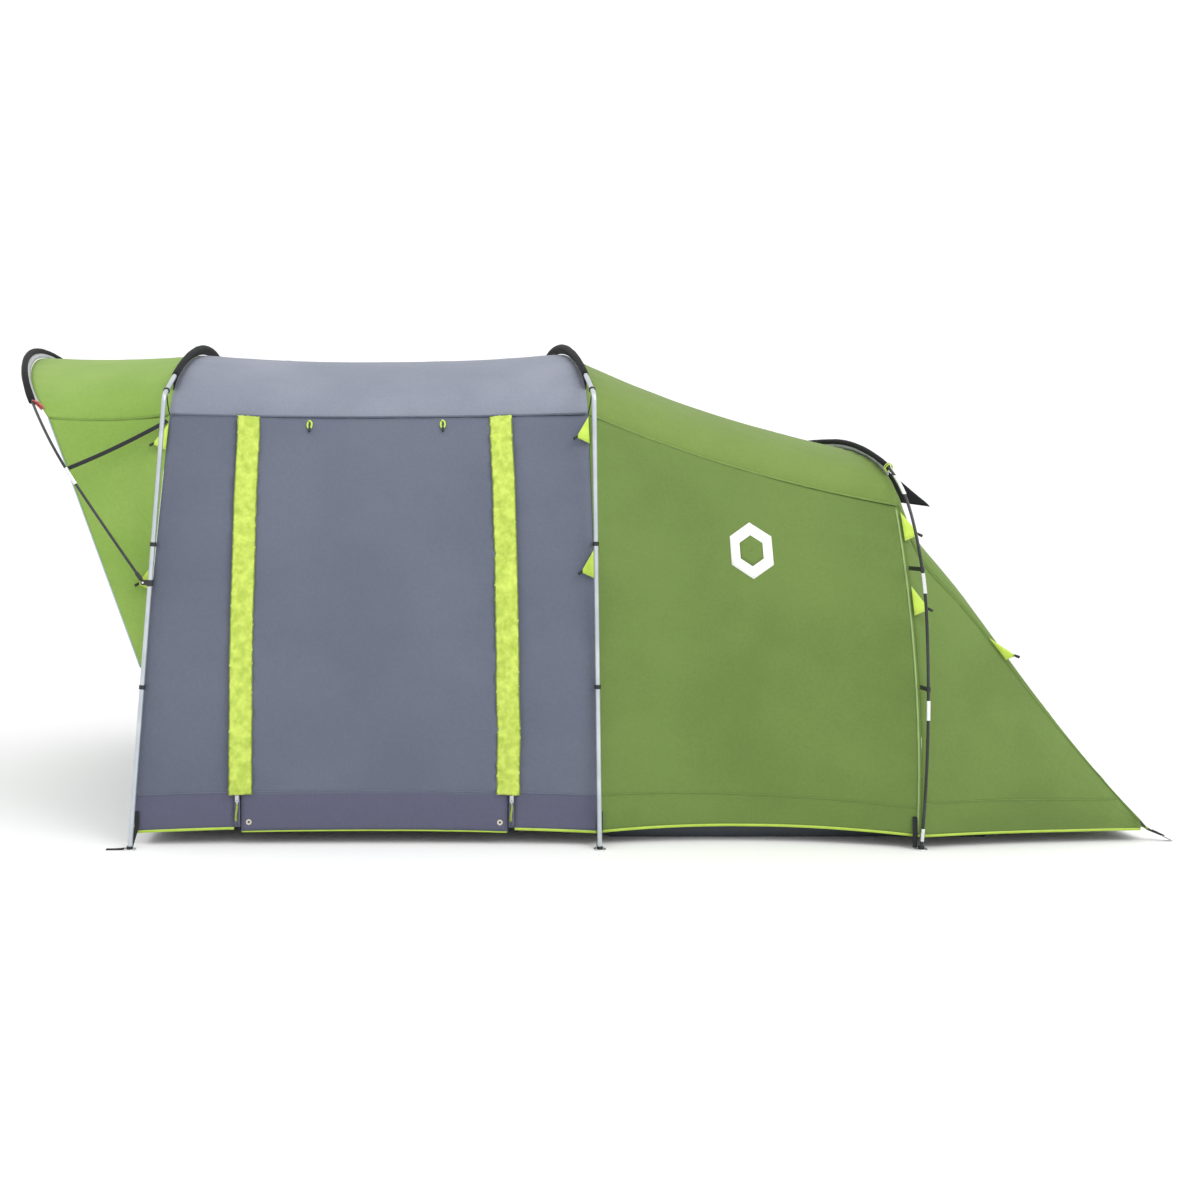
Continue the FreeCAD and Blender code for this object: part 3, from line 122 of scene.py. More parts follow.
@dataclass(frozen=True)
class WovenCloth:
    """Woven polyester with a coating: threads just too fine to see, soft creases, a dull sheen."""

    name: str
    tint: str
    # deep: the patches' darker tone; on the lime covers the patches are painted highlight and shade.
    deep: str
    thread_mm: float = 1.4
    crease_mm: float = 0.5
    roughness: float = 0.68
    sheen: float = 0.03
    weave: Weave = Weave.PLAIN
    specular: float = 0.22
    band: float = 0.0
    band_tint: str = "000000"
    # Size of the patches: large ones are random tone; the small ones on the lime covers are painted crease
    # shade and highlight.
    tone_and_crease_shade_mm: float = 430.0

    def make(self) -> bpy.types.Material:
        """Builds the material."""
        material = bpy.data.materials.new(self.name)
        material.use_nodes = True
        tree = material.node_tree
        shader = tree.nodes["Principled BSDF"]
        shader.inputs["Roughness"].default_value = self.roughness
        shader.inputs["Specular IOR Level"].default_value = self.specular
        shader.inputs["Sheen Weight"].default_value = self.sheen
        shader.inputs["Sheen Roughness"].default_value = 0.45
        place = add_node(tree, "ShaderNodeTexCoord", {}, {})
        # Patches between deep and tint: random tone, and on the lime covers painted shade and highlight on
        # the crumples.
        patches = add_node(tree, "ShaderNodeTexNoise", {"Scale": 1 / (self.tone_and_crease_shade_mm * MM), "Detail": 3.0},
                        {0: place.outputs["Object"]})
        mottle = add_node(tree, "ShaderNodeTexNoise", {"Scale": 90.0, "Detail": 2.0},
                          {0: place.outputs["Object"]})
        ramp = add_node(tree, "ShaderNodeMapRange", {1: 0.36, 2: 0.64}, {0: patches.outputs[0]})
        tones = {"data_type": "RGBA", 6: linear(self.deep), 7: linear(self.tint)}
        base = add_node(tree, "ShaderNodeMix", tones, {0: ramp.outputs[0]})
        if self.band > 0:
            height = add_node(tree, "ShaderNodeSeparateXYZ", {}, {0: place.outputs["UV"]})
            below = add_node(tree, "ShaderNodeMath", {"operation": "LESS_THAN", 1: self.band},
                             {0: height.outputs[1]})
            base = add_node(tree, "ShaderNodeMix", {"data_type": "RGBA", 7: linear(self.band_tint)},
                            {0: below.outputs[0], 6: base.outputs[2]})
        speck = add_node(tree, "ShaderNodeMapRange", {1: 0.3, 2: 0.7, 3: 0.96, 4: 1.04},
                         {0: mottle.outputs[0]})
        toned = add_node(tree, "ShaderNodeMix", {"data_type": "RGBA", "blend_type": "MULTIPLY", 0: 1.0},
                         {6: base.outputs[2], 7: speck.outputs[0]})
        tree.links.new(toned.outputs[2], shader.inputs["Base Color"])
        scale = band_scale(self.thread_mm)
        threads = []
        for direction in ("X", "Y"):
            settings = {"wave_type": "BANDS", "bands_direction": direction, "Scale": scale}
            if self.weave is Weave.TWILL:
                settings["bands_direction"] = "DIAGONAL"
            threads.append(add_node(tree, "ShaderNodeTexWave", settings, {0: place.outputs["UV"]}))
        cloth = add_node(tree, "ShaderNodeMath", {"operation": "MAXIMUM"},
                         {0: threads[0].outputs[1], 1: threads[1].outputs[1]})
        crease = add_node(tree, "ShaderNodeTexNoise", {"Scale": 16.0, "Detail": 4.0, "Distortion": 0.6},
                          {0: place.outputs["Object"]})
        folds = add_node(tree, "ShaderNodeBump", {"Strength": 0.5, "Distance": self.crease_mm * MM * 4},
                         {"Height": crease.outputs[0]})
        bump = add_node(tree, "ShaderNodeBump", {"Strength": 0.35, "Distance": self.thread_mm * MM * 0.12},
                        {"Height": cloth.outputs[0], "Normal": folds.outputs[0]})
        tree.links.new(bump.outputs[0], shader.inputs["Normal"])
        return material


@dataclass(frozen=True)
class Hard:
    """A hard finish: drawn tube, moulded nylon or plated metal, with grain along or all over."""

    name: str
    tint: str
    worn: str
    roughness: float
    metallic: float = 0.0
    grain_mm: float = 3.0
    bump_mm: float = 0.02
    stretch: tuple[float, float, float] = (1.0, 1.0, 1.0)

    def make(self) -> bpy.types.Material:
        """Builds the material."""
        material = bpy.data.materials.new(self.name)
        material.use_nodes = True
        tree = material.node_tree
        shader = tree.nodes["Principled BSDF"]
        shader.inputs["Metallic"].default_value = self.metallic
        place = add_node(tree, "ShaderNodeTexCoord", {}, {})
        along = add_node(tree, "ShaderNodeMapping", {"Scale": self.stretch}, {0: place.outputs["Object"]})
        grain = add_node(tree, "ShaderNodeTexNoise", {"Scale": 1 / (self.grain_mm * MM), "Detail": 3.0},
                         {0: along.outputs[0]})
        rub = add_node(tree, "ShaderNodeTexNoise", {"Scale": 9.0, "Detail": 5.0},
                       {0: place.outputs["Object"]})
        share = add_node(tree, "ShaderNodeMapRange", {1: 0.45, 2: 0.75}, {0: rub.outputs[0]})
        tones = {"data_type": "RGBA", 6: linear(self.tint), 7: linear(self.worn)}
        base = add_node(tree, "ShaderNodeMix", tones, {0: share.outputs[0]})
        tree.links.new(base.outputs[2], shader.inputs["Base Color"])
        gloss = add_node(tree, "ShaderNodeMapRange",
                         {1: 0.3, 2: 0.7, 3: max(0.05, self.roughness - 0.06), 4: self.roughness + 0.08},
                         {0: grain.outputs[0]})
        tree.links.new(gloss.outputs[0], shader.inputs["Roughness"])
        bump = add_node(tree, "ShaderNodeBump", {"Strength": 0.4, "Distance": self.bump_mm * MM},
                        {"Height": grain.outputs[0]})
        tree.links.new(bump.outputs[0], shader.inputs["Normal"])
        return material


@dataclass(frozen=True)
class SewnTape:
    """Narrow woven tape or binding with a row of stitches near each edge, ribbed across its length."""

    name: str
    tint: str
    thread: str
    width_mm: float
    rib_mm: float = 1.6
    stitch_mm: float = 5.0
    roughness: float = 0.7

    def make(self) -> bpy.types.Material:
        """Builds the material. U runs along the tape and V across it, both in metres."""
        material = bpy.data.materials.new(self.name)
        material.use_nodes = True
        tree = material.node_tree
        shader = tree.nodes["Principled BSDF"]
        shader.inputs["Roughness"].default_value = self.roughness
        shader.inputs["Specular IOR Level"].default_value = 0.3
        place = add_node(tree, "ShaderNodeTexCoord", {}, {})
        split = add_node(tree, "ShaderNodeSeparateXYZ", {}, {0: place.outputs["UV"]})
        ribs = add_node(tree, "ShaderNodeTexWave", {"bands_direction": "X", "Scale": band_scale(self.rib_mm)},
                        {0: place.outputs["UV"]})
        edge = self.width_mm * MM * 0.5 - 0.0025
        across = add_node(tree, "ShaderNodeMath", {"operation": "ABSOLUTE"}, {0: split.outputs[1]})
        off = add_node(tree, "ShaderNodeMath", {"operation": "SUBTRACT", 1: edge}, {0: across.outputs[0]})
        near = add_node(tree, "ShaderNodeMath", {"operation": "ABSOLUTE"}, {0: off.outputs[0]})
        row = add_node(tree, "ShaderNodeMath", {"operation": "LESS_THAN", 1: 0.0006}, {0: near.outputs[0]})
        step = add_node(tree, "ShaderNodeMath", {"operation": "MULTIPLY", 1: 1 / (self.stitch_mm * MM)},
                        {0: split.outputs[0]})
        turn = add_node(tree, "ShaderNodeMath", {"operation": "FRACT"}, {0: step.outputs[0]})
        dash = add_node(tree, "ShaderNodeMath", {"operation": "LESS_THAN", 1: 0.62}, {0: turn.outputs[0]})
        stitch = add_node(tree, "ShaderNodeMath", {"operation": "MULTIPLY"},
                          {0: row.outputs[0], 1: dash.outputs[0]})
        patches = add_node(tree, "ShaderNodeTexNoise", {"Scale": 22.0, "Detail": 3.0},
                        {0: place.outputs["Object"]})
        tone = add_node(tree, "ShaderNodeMapRange", {1: 0.3, 2: 0.7, 3: 0.9, 4: 1.08}, {0: patches.outputs[0]})
        base = add_node(tree, "ShaderNodeMix", {"data_type": "RGBA", "blend_type": "MULTIPLY", 0: 1.0,
                                                6: linear(self.tint)}, {7: tone.outputs[0]})
        sewn = add_node(tree, "ShaderNodeMix", {"data_type": "RGBA", 7: linear(self.thread)},
                        {0: stitch.outputs[0], 6: base.outputs[2]})
        tree.links.new(sewn.outputs[2], shader.inputs["Base Color"])
        height = add_node(tree, "ShaderNodeMath", {"operation": "ADD"},
                          {0: ribs.outputs[1], 1: stitch.outputs[0]})
        bump = add_node(tree, "ShaderNodeBump", {"Strength": 0.5, "Distance": self.rib_mm * MM * 0.2},
                        {"Height": height.outputs[0]})
        tree.links.new(bump.outputs[0], shader.inputs["Normal"])
        return material


class Finish(Enum):
    """Every finish on the tent, with the record's slot that it belongs to."""

    # Roof of the living bay: grey polyester, polyurethane coated; the walls' cloth, painted lighter for the
    # light falling on it from above.
    ROOF_GREY = (WovenCloth("coated_polyester_grey_painted_toplit", "868a98", "7c818f"), "grey_fly")
    # Walls and doors: the same cloth in its deeper slate grey; the roof's lighter copy carries painted light.
    WALL_GREY = (WovenCloth("coated_polyester_slate_wall", "626776", "5c6271", band=0.150,
                            band_tint="58596d"), "grey_wall")
    # Canopy: bright green polyester; the light shining through the thin cloth is painted into its colour,
    # which makes it lighter than the fly.
    CANOPY_GREEN = (WovenCloth("coated_polyester_green_painted_glow", "87a451", "7c9c46"), "green_canopy")
    # Bedroom and tail: the deeper leaf green.
    LEAF_GREEN = (WovenCloth("coated_polyester_leaf_green", "688040", "61783b"), "green_fly")
    # The bedroom's roof: the same leaf green, painted lighter for the light falling on it from above.
    LEAF_ROOF = (WovenCloth("coated_polyester_leaf_green_painted_toplit", "728944", "6b823f"), "green_fly")
    # Covers over the zips: lime polyester, puckered along its seams; its small light and dark patches are
    # painted highlight and shade on its crumples.
    LIME_COVER = (WovenCloth("puckered_polyester_lime", "c3d662", "aabf4f", 1.4, 1.6, tone_and_crease_shade_mm=34.0),
                  "lime_webbing")
    # Dark strips along the covers' edges: their folded edge, with the shadow beside it painted in.
    COVER_EDGE = (SewnTape("olive_cover_edge_painted_shadow", "76853a", "8d9c4c", 4, 1.2), "lime_webbing")
    OLIVE_PULL = (SewnTape("olive_pull_tape", "8c9a3e", "a5b258", 8, 1.2), "lime_webbing")
    # Sleeves and the rear brow: heavy black polyester.
    BLACK_CLOTH = (WovenCloth("heavy_polyester_black", "151618", "101113", 1.8, 0.8, 0.8), "black_webbing")
    # Floor: woven polyethylene with its coarse slit-film squares.
    FLOOR = (WovenCloth("woven_polyethylene_floor", "4c5157", "454a50", 3.0, 0.6, 0.5), "groundsheet")
    # Inner wall: light breathable polyester.
    INNER = (WovenCloth("breathable_polyester_inner", "b9bab4", "b1b2ac", 1.2, 0.5, 0.75), "inner_cloth")
    # White print on the bedroom wall: screen ink, even and flat.
    WHITE_PRINT = (WovenCloth("screen_ink_white", "f2f3f0", "ecede9", 1.4, 0.3, 0.6, 0.0), "inner_cloth")
    # Binding sewn round the hem.
    LIME_BINDING = (SewnTape("lime_grosgrain_binding", "aecb4a", "c9dd80", 14), "lime_webbing")
    LIME_TAB = (SewnTape("lime_guy_triangle_webbing", "b9d452", "d3e58a", 40), "lime_webbing")
    BLACK_STRAP = (SewnTape("black_polypropylene_webbing", "232427", "3a3b3e", 20), "black_webbing")
    BLACK_TAPE = (SewnTape("black_seam_tape", "2a2b2e", "3c3d40", 8, 1.2), "black_webbing")
    GREY_TAPE = (SewnTape("light_grey_seam_tape", "b4b7ba", "d0d2d4", 12, 1.2), "inner_cloth")
    SLATE_TAPE = (SewnTape("slate_seam_tape", "5d6373", "6b7182", 9, 1.2), "grey_wall")
    LEAF_TAPE = (SewnTape("leaf_seam_tape", "627c3b", "728c4a", 9, 1.2), "green_fly")
    # The bedroom roof's seam tape: the leaf tape painted lighter for the light from above.
    LEAF_ROOF_TAPE = (SewnTape("leaf_seam_tape_painted_toplit", "728c46", "84a05a", 9, 1.2), "green_fly")
    CANOPY_TAPE = (SewnTape("canopy_seam_tape", "6f8c3c", "86a555", 9, 1.2), "green_canopy")
    PIPING = (SewnTape("pale_piping", "8fa0b0", "b4c2ce", 6, 1.2), "inner_cloth")
    ZIP_TAPE = (SewnTape("slate_zip_tape", "5a6070", "6a7080", 24, 1.2), "grey_wall")
    ZIP_COIL = (Hard("zip_coil_grey", "4c515e", "5a6070", 0.5, 0.0, 1.0, 0.01), "black_nylon")
    PALE_LEAF = (SewnTape("pale_leaf_seam_tape", "8ca568", "a3b881", 7, 1.2), "green_fly")
    RED_TIE = (SewnTape("red_tie_tape", "c8635c", "e09a92", 14, 1.2), "lime_webbing")
    # Legs: galvanised and clear-coated steel tube, pale and faintly blue.
    STEEL_TUBE = (Hard("galvanised_steel_tube", "b9c0c6", "cdd3d8", 0.34, 0.75, 6.0, 0.03, (1, 1, 0.1)),
                  "steel_tube")
    # Rods: pultruded fibreglass with a gloss black resin skin.
    FIBREGLASS = (Hard("pultruded_fibreglass_black", "1d1f22", "303338", 0.28, 0.0, 4.0, 0.02, (1, 1, 0.1)),
                  "fibreglass")
    # Ferrules and rings: bright plated steel.
    FERRULE = (Hard("plated_steel_ferrule", "dfe2e4", "f1f2f2", 0.26, 0.85, 2.0, 0.01), "steel_ferrule")
    # Clips, buckles and plugs: moulded nylon with a faint spark-eroded grain.
    NYLON = (Hard("moulded_nylon_black", "1c1d1f", "2b2c2f", 0.5, 0.0, 0.8, 0.03), "black_nylon")
    BRASS = (Hard("nickelled_brass_eyelet", "cfc8b4", "e0dac9", 0.3, 0.9, 1.0, 0.01), "brass")
    ZINC = (Hard("cast_zinc_slider", "b8babd", "d4d6d8", 0.32, 0.85, 1.0, 0.01), "zinc")
    ELASTIC = (Hard("braided_elastic_black", "212225", "35363a", 0.8, 0.0, 1.2, 0.1), "black_elastic")

    @property
    def slot(self) -> str:
        """The record's material slot."""
        return self.value[1]

    def material(self) -> bpy.types.Material:
        """The material, made once."""
        recipe = self.value[0]
        return bpy.data.materials.get(recipe.name) or recipe.make()


# ------------------------------------------------------------------ meshes
def new_piece(name: str, points: Sequence[Vector], faces: Sequence[Sequence[int]], finish: Finish,
              uvs: Sequence[tuple[float, float]] | None = None, smooth: bool = True) -> bpy.types.Object:
    """Makes a mesh piece in the row frame.

    Args:
        name: The piece's name.
        points: Its vertices.
        faces: Vertex numbers of each face.
        finish: What it is made of.
        uvs: One pair for each vertex, in metres of cloth.
        smooth: Whether faces shade smoothly.

    Returns:
        The object.
    """
    mesh = bpy.data.meshes.new(name)
    mesh.from_pydata([tuple(p) for p in points], [], faces)
    if uvs is not None:
        layer = mesh.uv_layers.new(name="cloth")
        for loop in mesh.loops:
            layer.data[loop.index].uv = uvs[loop.vertex_index]
    mesh.polygons.foreach_set("use_smooth", [smooth] * len(mesh.polygons))
    mesh.materials.append(finish.material())
    piece = bpy.data.objects.new(name, mesh)
    bpy.context.scene.collection.objects.link(piece)
    return piece


def sweep(name: str, rings: Sequence[Sequence[Vector]], finish: Finish,
          lengths: Sequence[float] | None = None, widths: Sequence[float] | None = None) -> bpy.types.Object:
    """Joins closed rings of points into a capped piece.

    Args:
        name: The piece's name.
        rings: Rings in order, each with the same number of points.
        finish: What it is made of.
        lengths: Distance along the piece at each ring, for the pattern.
        widths: Distance across the piece at each point of a ring, for the pattern.

    Returns:
        The object.
    """
    count = len(rings[0])
    points = [p for ring in rings for p in ring]
    faces = []
    for i in range(len(rings) - 1):
        for j in range(count):
            k = (j + 1) % count
            faces.append((i * count + j, i * count + k, (i + 1) * count + k, (i + 1) * count + j))
    faces.append(tuple(range(count))[::-1])
    faces.append(tuple((len(rings) - 1) * count + j for j in range(count)))
    lengths = lengths or [i * 0.01 for i in range(len(rings))]
    widths = widths or [0.0] * count
    uvs = [(lengths[i], widths[j]) for i in range(len(rings)) for j in range(count)]
    return new_piece(name, points, faces, finish, uvs)


def headings(path: Sequence[Vector]) -> list[Vector]:
    """The direction of a path at each of its points."""
    last = len(path) - 1
    return [(path[min(i + 1, last)] - path[max(i - 1, 0)]).normalized() for i in range(len(path))]


def run_lengths(path: Sequence[Vector]) -> list[float]:
    """The distance along a path to each of its points."""
    lengths = [0.0]
    for a, b in zip(path, path[1:]):
        lengths.append(lengths[-1] + (b - a).length)
    return lengths


def ribbon(name: str, path: Sequence[Vector], ups: Sequence[Vector], width: float, thickness: float,
           finish: Finish) -> bpy.types.Object:
    """A flat strap with rounded edges along a path.

    Args:
        name: The piece's name.
        path: Points along its middle.
        ups: The way its face looks at each point.
        width: Across the strap.
        thickness: Through it.
        finish: What it is made of.

    Returns:
        The object.
    """
    rings = []
    half, deep = width / 2, thickness / 2
    outline = [(-half, 0), (-half * 0.96, deep), (0, deep), (half * 0.96, deep),
               (half, 0), (half * 0.96, -deep), (0, -deep), (-half * 0.96, -deep)]
    for point, along, up in zip(path, headings(path), ups):
        wide = along.cross(up).normalized()
        face = wide.cross(along).normalized()
        rings.append([point + wide * a + face * b for a, b in outline])
    return sweep(name, rings, finish, run_lengths(path), [a for a, _ in outline])


def tube(name: str, path: Sequence[Vector], radius: float, finish: Finish,
         sides: int = 10) -> bpy.types.Object:
    """A round cord or roll of cloth along a path."""
    rings = []
    side = Vector((0, 1, 0))
    for point, along in zip(path, headings(path)):
        if abs(along.dot(side)) > 0.9:
            side = Vector((1, 0, 0))
        side = (side - along * side.dot(along)).normalized()
        other = along.cross(side)
        rings.append([point + (side * math.cos(a) + other * math.sin(a)) * radius
                      for a in (2 * math.pi * k / sides for k in range(sides))])
    return sweep(name, rings, finish, run_lengths(path))


def steps(count: int, low: float = 0.0, high: float = 1.0) -> list[float]:
    """Evenly spaced values, both ends included."""
    return [low + (high - low) * k / (count - 1) for k in range(count)]


def bezier(corners: Sequence[Vector], count: int) -> list[Vector]:
    """Points along the smooth curve that three or four control points make."""
    points = []
    for t in steps(count):
        line = list(corners)
        while len(line) > 1:
            line = [a.lerp(b, t) for a, b in zip(line, line[1:])]
        points.append(line[0])
    return points


@dataclass
class Cloth:
    """A panel of cloth over a curved surface, with creases that stand off it.

    Attributes:
        name: The piece's name.
        surface: The panel's smooth shape, from two shares of its width and length.
        core: A point on its inner side.
        finish: What it is made of.
        relief: How far the cloth stands off the smooth shape, in metres.
        counts: Grid points each way.
        thickness: Through the cloth.
        lift: A distance that the whole panel stands off.
    """

    name: str
    surface: Surface
    core: Vector
    finish: Finish
    relief: Relief
    counts: tuple[int, int] = (48, 48)
    thickness: float = 0.0008
    lift: float = 0.0

    def normal(self, u: float, v: float) -> Vector:
        """The outward direction at a place on the panel."""
        gap = 0.004
        along = self.surface(min(u + gap, 1), v) - self.surface(max(u - gap, 0), v)
        across = self.surface(u, min(v + gap, 1)) - self.surface(u, max(v - gap, 0))
        out = along.cross(across).normalized()
        return out if out.dot(self.surface(u, v) - self.core) > 0 else -out

    def at(self, u: float, v: float, lift: float = 0.0) -> Vector:
        """A point on the creased cloth, or a little off it."""
        return self.surface(u, v) + self.normal(u, v) * (self.relief(u, v) + self.lift + lift)

    def build(self, skip: Callable[[float, float], bool] | None = None) -> bpy.types.Object:
        """Makes the panel.

        Args:
            skip: Says which cells of the grid are left open.

        Returns:
            The object; its owner logs its cut later.
        """
        nu, nv = self.counts
        rows = [[self.at(u, v) for v in steps(nv)] for u in steps(nu)]
        points = [p for row in rows for p in row]
        uvs = []
        for i, row in enumerate(rows):
            base = sum((rows[k + 1][nv // 2] - rows[k][nv // 2]).length for k in range(i))
            uvs += [(base, length) for length in run_lengths(row)]
        first = (rows[1][0] - rows[0][0]).cross(rows[0][1] - rows[0][0])
        flip = first.dot(rows[0][0] - self.core) < 0
        faces = []
        for i in range(nu - 1):
            for j in range(nv - 1):
                if skip and skip((i + 0.5) / (nu - 1), (j + 0.5) / (nv - 1)):
                    continue
                face = (i * nv + j, (i + 1) * nv + j, (i + 1) * nv + j + 1, i * nv + j + 1)
                faces.append(face[::-1] if flip else face)
        piece = new_piece(self.name, points, faces, self.finish, uvs)
        thick = piece.modifiers.new("cloth", "SOLIDIFY")
        thick.thickness, thick.offset = self.thickness, -1
        return piece

    def spans(self) -> tuple[float, float, float]:
        """The cut's width, length and area, measured over the smooth surface."""
        grid = [[self.surface(u, v) for v in steps(15)] for u in steps(15)]
        width = max(run_lengths([row[j] for row in grid])[-1] for j in range(15))
        length = max(run_lengths(row)[-1] for row in grid)
        area = 0.0
        for i in range(14):
            for j in range(14):
                a, b, c, d = grid[i][j], grid[i + 1][j], grid[i + 1][j + 1], grid[i][j + 1]
                area += ((b - a).cross(c - a).length + (c - a).cross(d - a).length) / 2
        return width, length, min(area, width * length)


def declare(cloth: Cloth, open_area: float = 0.0,
            tall: float | None = None) -> None:
    """Logs how large a panel was cut.

    Args:
        cloth: The panel, whose smooth surface gives its cut.
        open_area: The area of a hole cut in it.
        tall: The cut's height, where its edges are longer than that.
    """
    width, length, area = cloth.spans()
    length = tall or length
    if area < 0.45 * width * length:
        width = 2 * area / length
    area = min(area, width * length) - open_area
    LOG.info("%s cut %.3f by %.3f m, %.3f m2, %.2f of the rectangle", cloth.name, width, length, area,
             area / (width * length))


def creases(seed: float, size: tuple[float, float], soft: float = 0.0030, sharp: float = 0.0016,
            edge: float = 0.0024, pitch: float = 0.13) -> Relief:
    """Creases in pulled cloth: a slow roll, a few sharp folds, and puckers that fade in from its ends.

    Args:
        seed: Sets this panel's pattern.
        size: The panel's width and length in metres.
        soft: Height of the slow roll.
        sharp: Height of the sharp folds.
        edge: Height of the puckers at the ends.
        pitch: Spacing of the puckers.

    Returns:
        Height as a function of place.
    """
    def height(u: float, v: float) -> float:
        x, y = u * size[0], v * size[1]
        roll = noise.noise(Vector((x * 1.4, y * 1.1, seed))) * soft
        fold = noise.noise(Vector((x * 3.1 + y * 1.3, y * 2.2 - x * 0.8, seed + 7)))
        crisp = max(0.0, 1 - abs(fold) * 7) ** 2 * sharp
        end = min(x, size[0] - x)
        wave = math.sin(2 * math.pi * (y / pitch + 0.7 * noise.noise(Vector((y * 3, x * 2, seed)))))
        pucker = edge * math.exp(-end / 0.07) * wave * (1 - math.exp(-end / 0.006))
        return roll * min(1.0, end / 0.05) + crisp * min(1.0, end / 0.08) + pucker
    return height


# ------------------------------------------------------------------ the tent's sections
@dataclass(frozen=True)
class Section:
    """The fly's outline at one hoop, in the hoop's own leaning plane.

    Attributes:
        foot_x: Where the plane meets its base line.
        base_z: The height of that line.
        lean: The plane's lean towards +X, in degrees.
        foot: Half width of the wall at the hem.
        half: Half width at the roof's seam.
        seam: Height of the seam.
        rise: From the seam to the top of the roof.
        bow: How far the wall swells between hem and seam.
        power: Shape of the roof's shoulders.
        root: Shape of the roof's crown.
        hem: Height of the hem.
        tuck: How far the roof's corner is drawn back from the hoop.
    """

    foot_x: float
    base_z: float
    lean: float
    foot: float
    half: float
    seam: float
    rise: float
    bow: float
    power: float
    root: float
    hem: float = 0.048
    tuck: float = 0.0

    def place(self, across: float, up: float) -> Vector:
        """A point of the plane in the tent's frame."""
        angle = math.radians(self.lean)
        return Vector((self.foot_x + math.sin(angle) * up, across, self.base_z + math.cos(angle) * up))

    def wall(self, f: float, side: int) -> Vector:
        """A point of the wall, from the hem at 0 to the seam at 1."""
        out = self.foot + (self.half - self.foot) * f + 4 * self.bow * f * (1 - f)
        return self.place(side * out, self.hem + (self.seam - self.hem) * f)

    def roof_local(self, turn: float) -> tuple[float, float]:
        """Across and up for a turn from -90 at the near seam to 90 at the far one."""
        across = math.sin(math.radians(turn))
        crown = max(0.0, 1 - abs(across) ** self.power) ** self.root
        return self.half * across, self.seam + self.rise * crown

    def roof(self, turn: float) -> Vector:
        """The same point in the tent's frame."""
        drawn_back = self.tuck * abs(math.sin(math.radians(turn))) ** 6
        return self.place(*self.roof_local(turn)) + Vector((drawn_back, 0, 0))


@dataclass(frozen=True)
class Tent:
    """Where the hoops stand and how the cloth draws in between them."""

    front_x: float = -1.70422
    mid_x: float = 0.10478
    rear_x: float = 1.34178
    tail_x: float = 2.28678
    pivot_x: float = -1.66805
    pivot_z: float = 1.024
    seam_waist: float = 0.145
    hem_waist: float = 0.020
    hem_lift: float = 0.016
    panel_bow: float = 0.112
    roof_sag: float = 0.030
    bedroom_waist: float = 0.075
    bedroom_sag: float = 0.030
    canopy_waist: float = 0.040
    canopy_sag: float = 0.012
    tail_half: float = 1.190
    tail_hem: float = 0.050
    tail_sag: float = 0.060
    tail_dip: float = 0.070
    dip_at: float = 0.100
    wing_foot: float = 0.690
    door_start: float = -1.29922
    door_end: float = -0.22822
    zip_half: float = 0.012
    panel_inset: float = 0.016
    panel_setback: float = 0.024

    @property
    def front(self) -> Section:
        """The section at the front hoop."""
        return Section(self.front_x, 0, 3.53, 1.245, 1.034, 1.700, 0.372, 0.062, 1.7, 0.5)

    @property
    def mid(self) -> Section:
        """The section at the middle hoop."""
        return Section(self.mid_x, 0, 0, 1.245, 1.034, 1.700, 0.372, 0.062, 1.7, 0.5)

    @property
    def rear(self) -> Section:
        """The section at the rear hoop."""
        return Section(self.rear_x, 0, -2.35, 1.300, 1.226, 1.323, 0.290, 0.078, 2.8, 0.5)

    @property
    def bow(self) -> Section:
        """The section at the canopy's bow."""
        return Section(self.pivot_x, self.pivot_z, -33.7, 0, 1.095, 0.790, 0.456, 0, 1.7, 0.7, tuck=0.028)

    def living_wall(self, x: float, f: float, side: int) -> Vector:
        """The living bay's wall at a station along the tent."""
        start, end = self.front.wall(f, side), self.mid.wall(f, side)
        a = (x - start.x) / (end.x - start.x)
        draw = self.seam_waist * f + self.hem_waist * (1 - f)
        draw -= 4 * (self.panel_bow - self.front.bow) * f * (1 - f)
        return drawn(start, end, a, draw, -self.hem_lift * (1 - f))

    def bedroom_wall(self, a: float, f: float, side: int) -> Vector:
        """The bedroom's wall, from the middle hoop to the rear one."""
        return drawn(self.mid.wall(f, side), self.rear.wall(f, side), a, self.bedroom_waist,
                     self.bedroom_sag * f - self.hem_lift * (1 - f))

    def tail_side(self, t: float, f: float, side: int) -> Vector:
        """The three-cornered panel beside the sloping rear wall."""
        start = self.rear.wall(f, side)
        corner = Vector((self.tail_x, side * self.tail_half, self.tail_hem))
        sag = 4 * t * (1 - t) * self.tail_sag
        return start.lerp(corner, t) - Vector((0, side * sag * 0.25 * (1 - f), (sag + self.dip(t)) * f))

    def rear_wall(self, t: float, turn: float) -> Vector:
        """The sloping rear wall."""
        end = Vector((self.tail_x, self.tail_half * math.sin(math.radians(turn)), self.tail_hem))
        sag = 4 * t * (1 - t) * self.tail_sag + self.dip(t)
        return self.rear.roof(turn).lerp(end, t) - Vector((0, 0, sag))

    def dip(self, t: float) -> float:
        """How much further the rear wall drops just behind the hoop, where it hangs from the vent."""
        share = t / self.dip_at
        return self.tail_dip * share * share * math.exp(2 * (1 - share))


def drawn(start: Vector, end: Vector, a: float, draw: float, drop: float) -> Vector:
    """Cloth stretched between two hoops: drawn in and let down in mid-bay."""
    mid = 4 * a * (1 - a)
    point = start.lerp(end, a)
    inward = -draw * mid if point.y > 0 else draw * mid
    return point + Vector((0, inward, -drop * mid))


def turn_of(v: float) -> float:
    """The roof's turn for a share of the way from the near seam to the far one."""
    return -90 + 180 * v


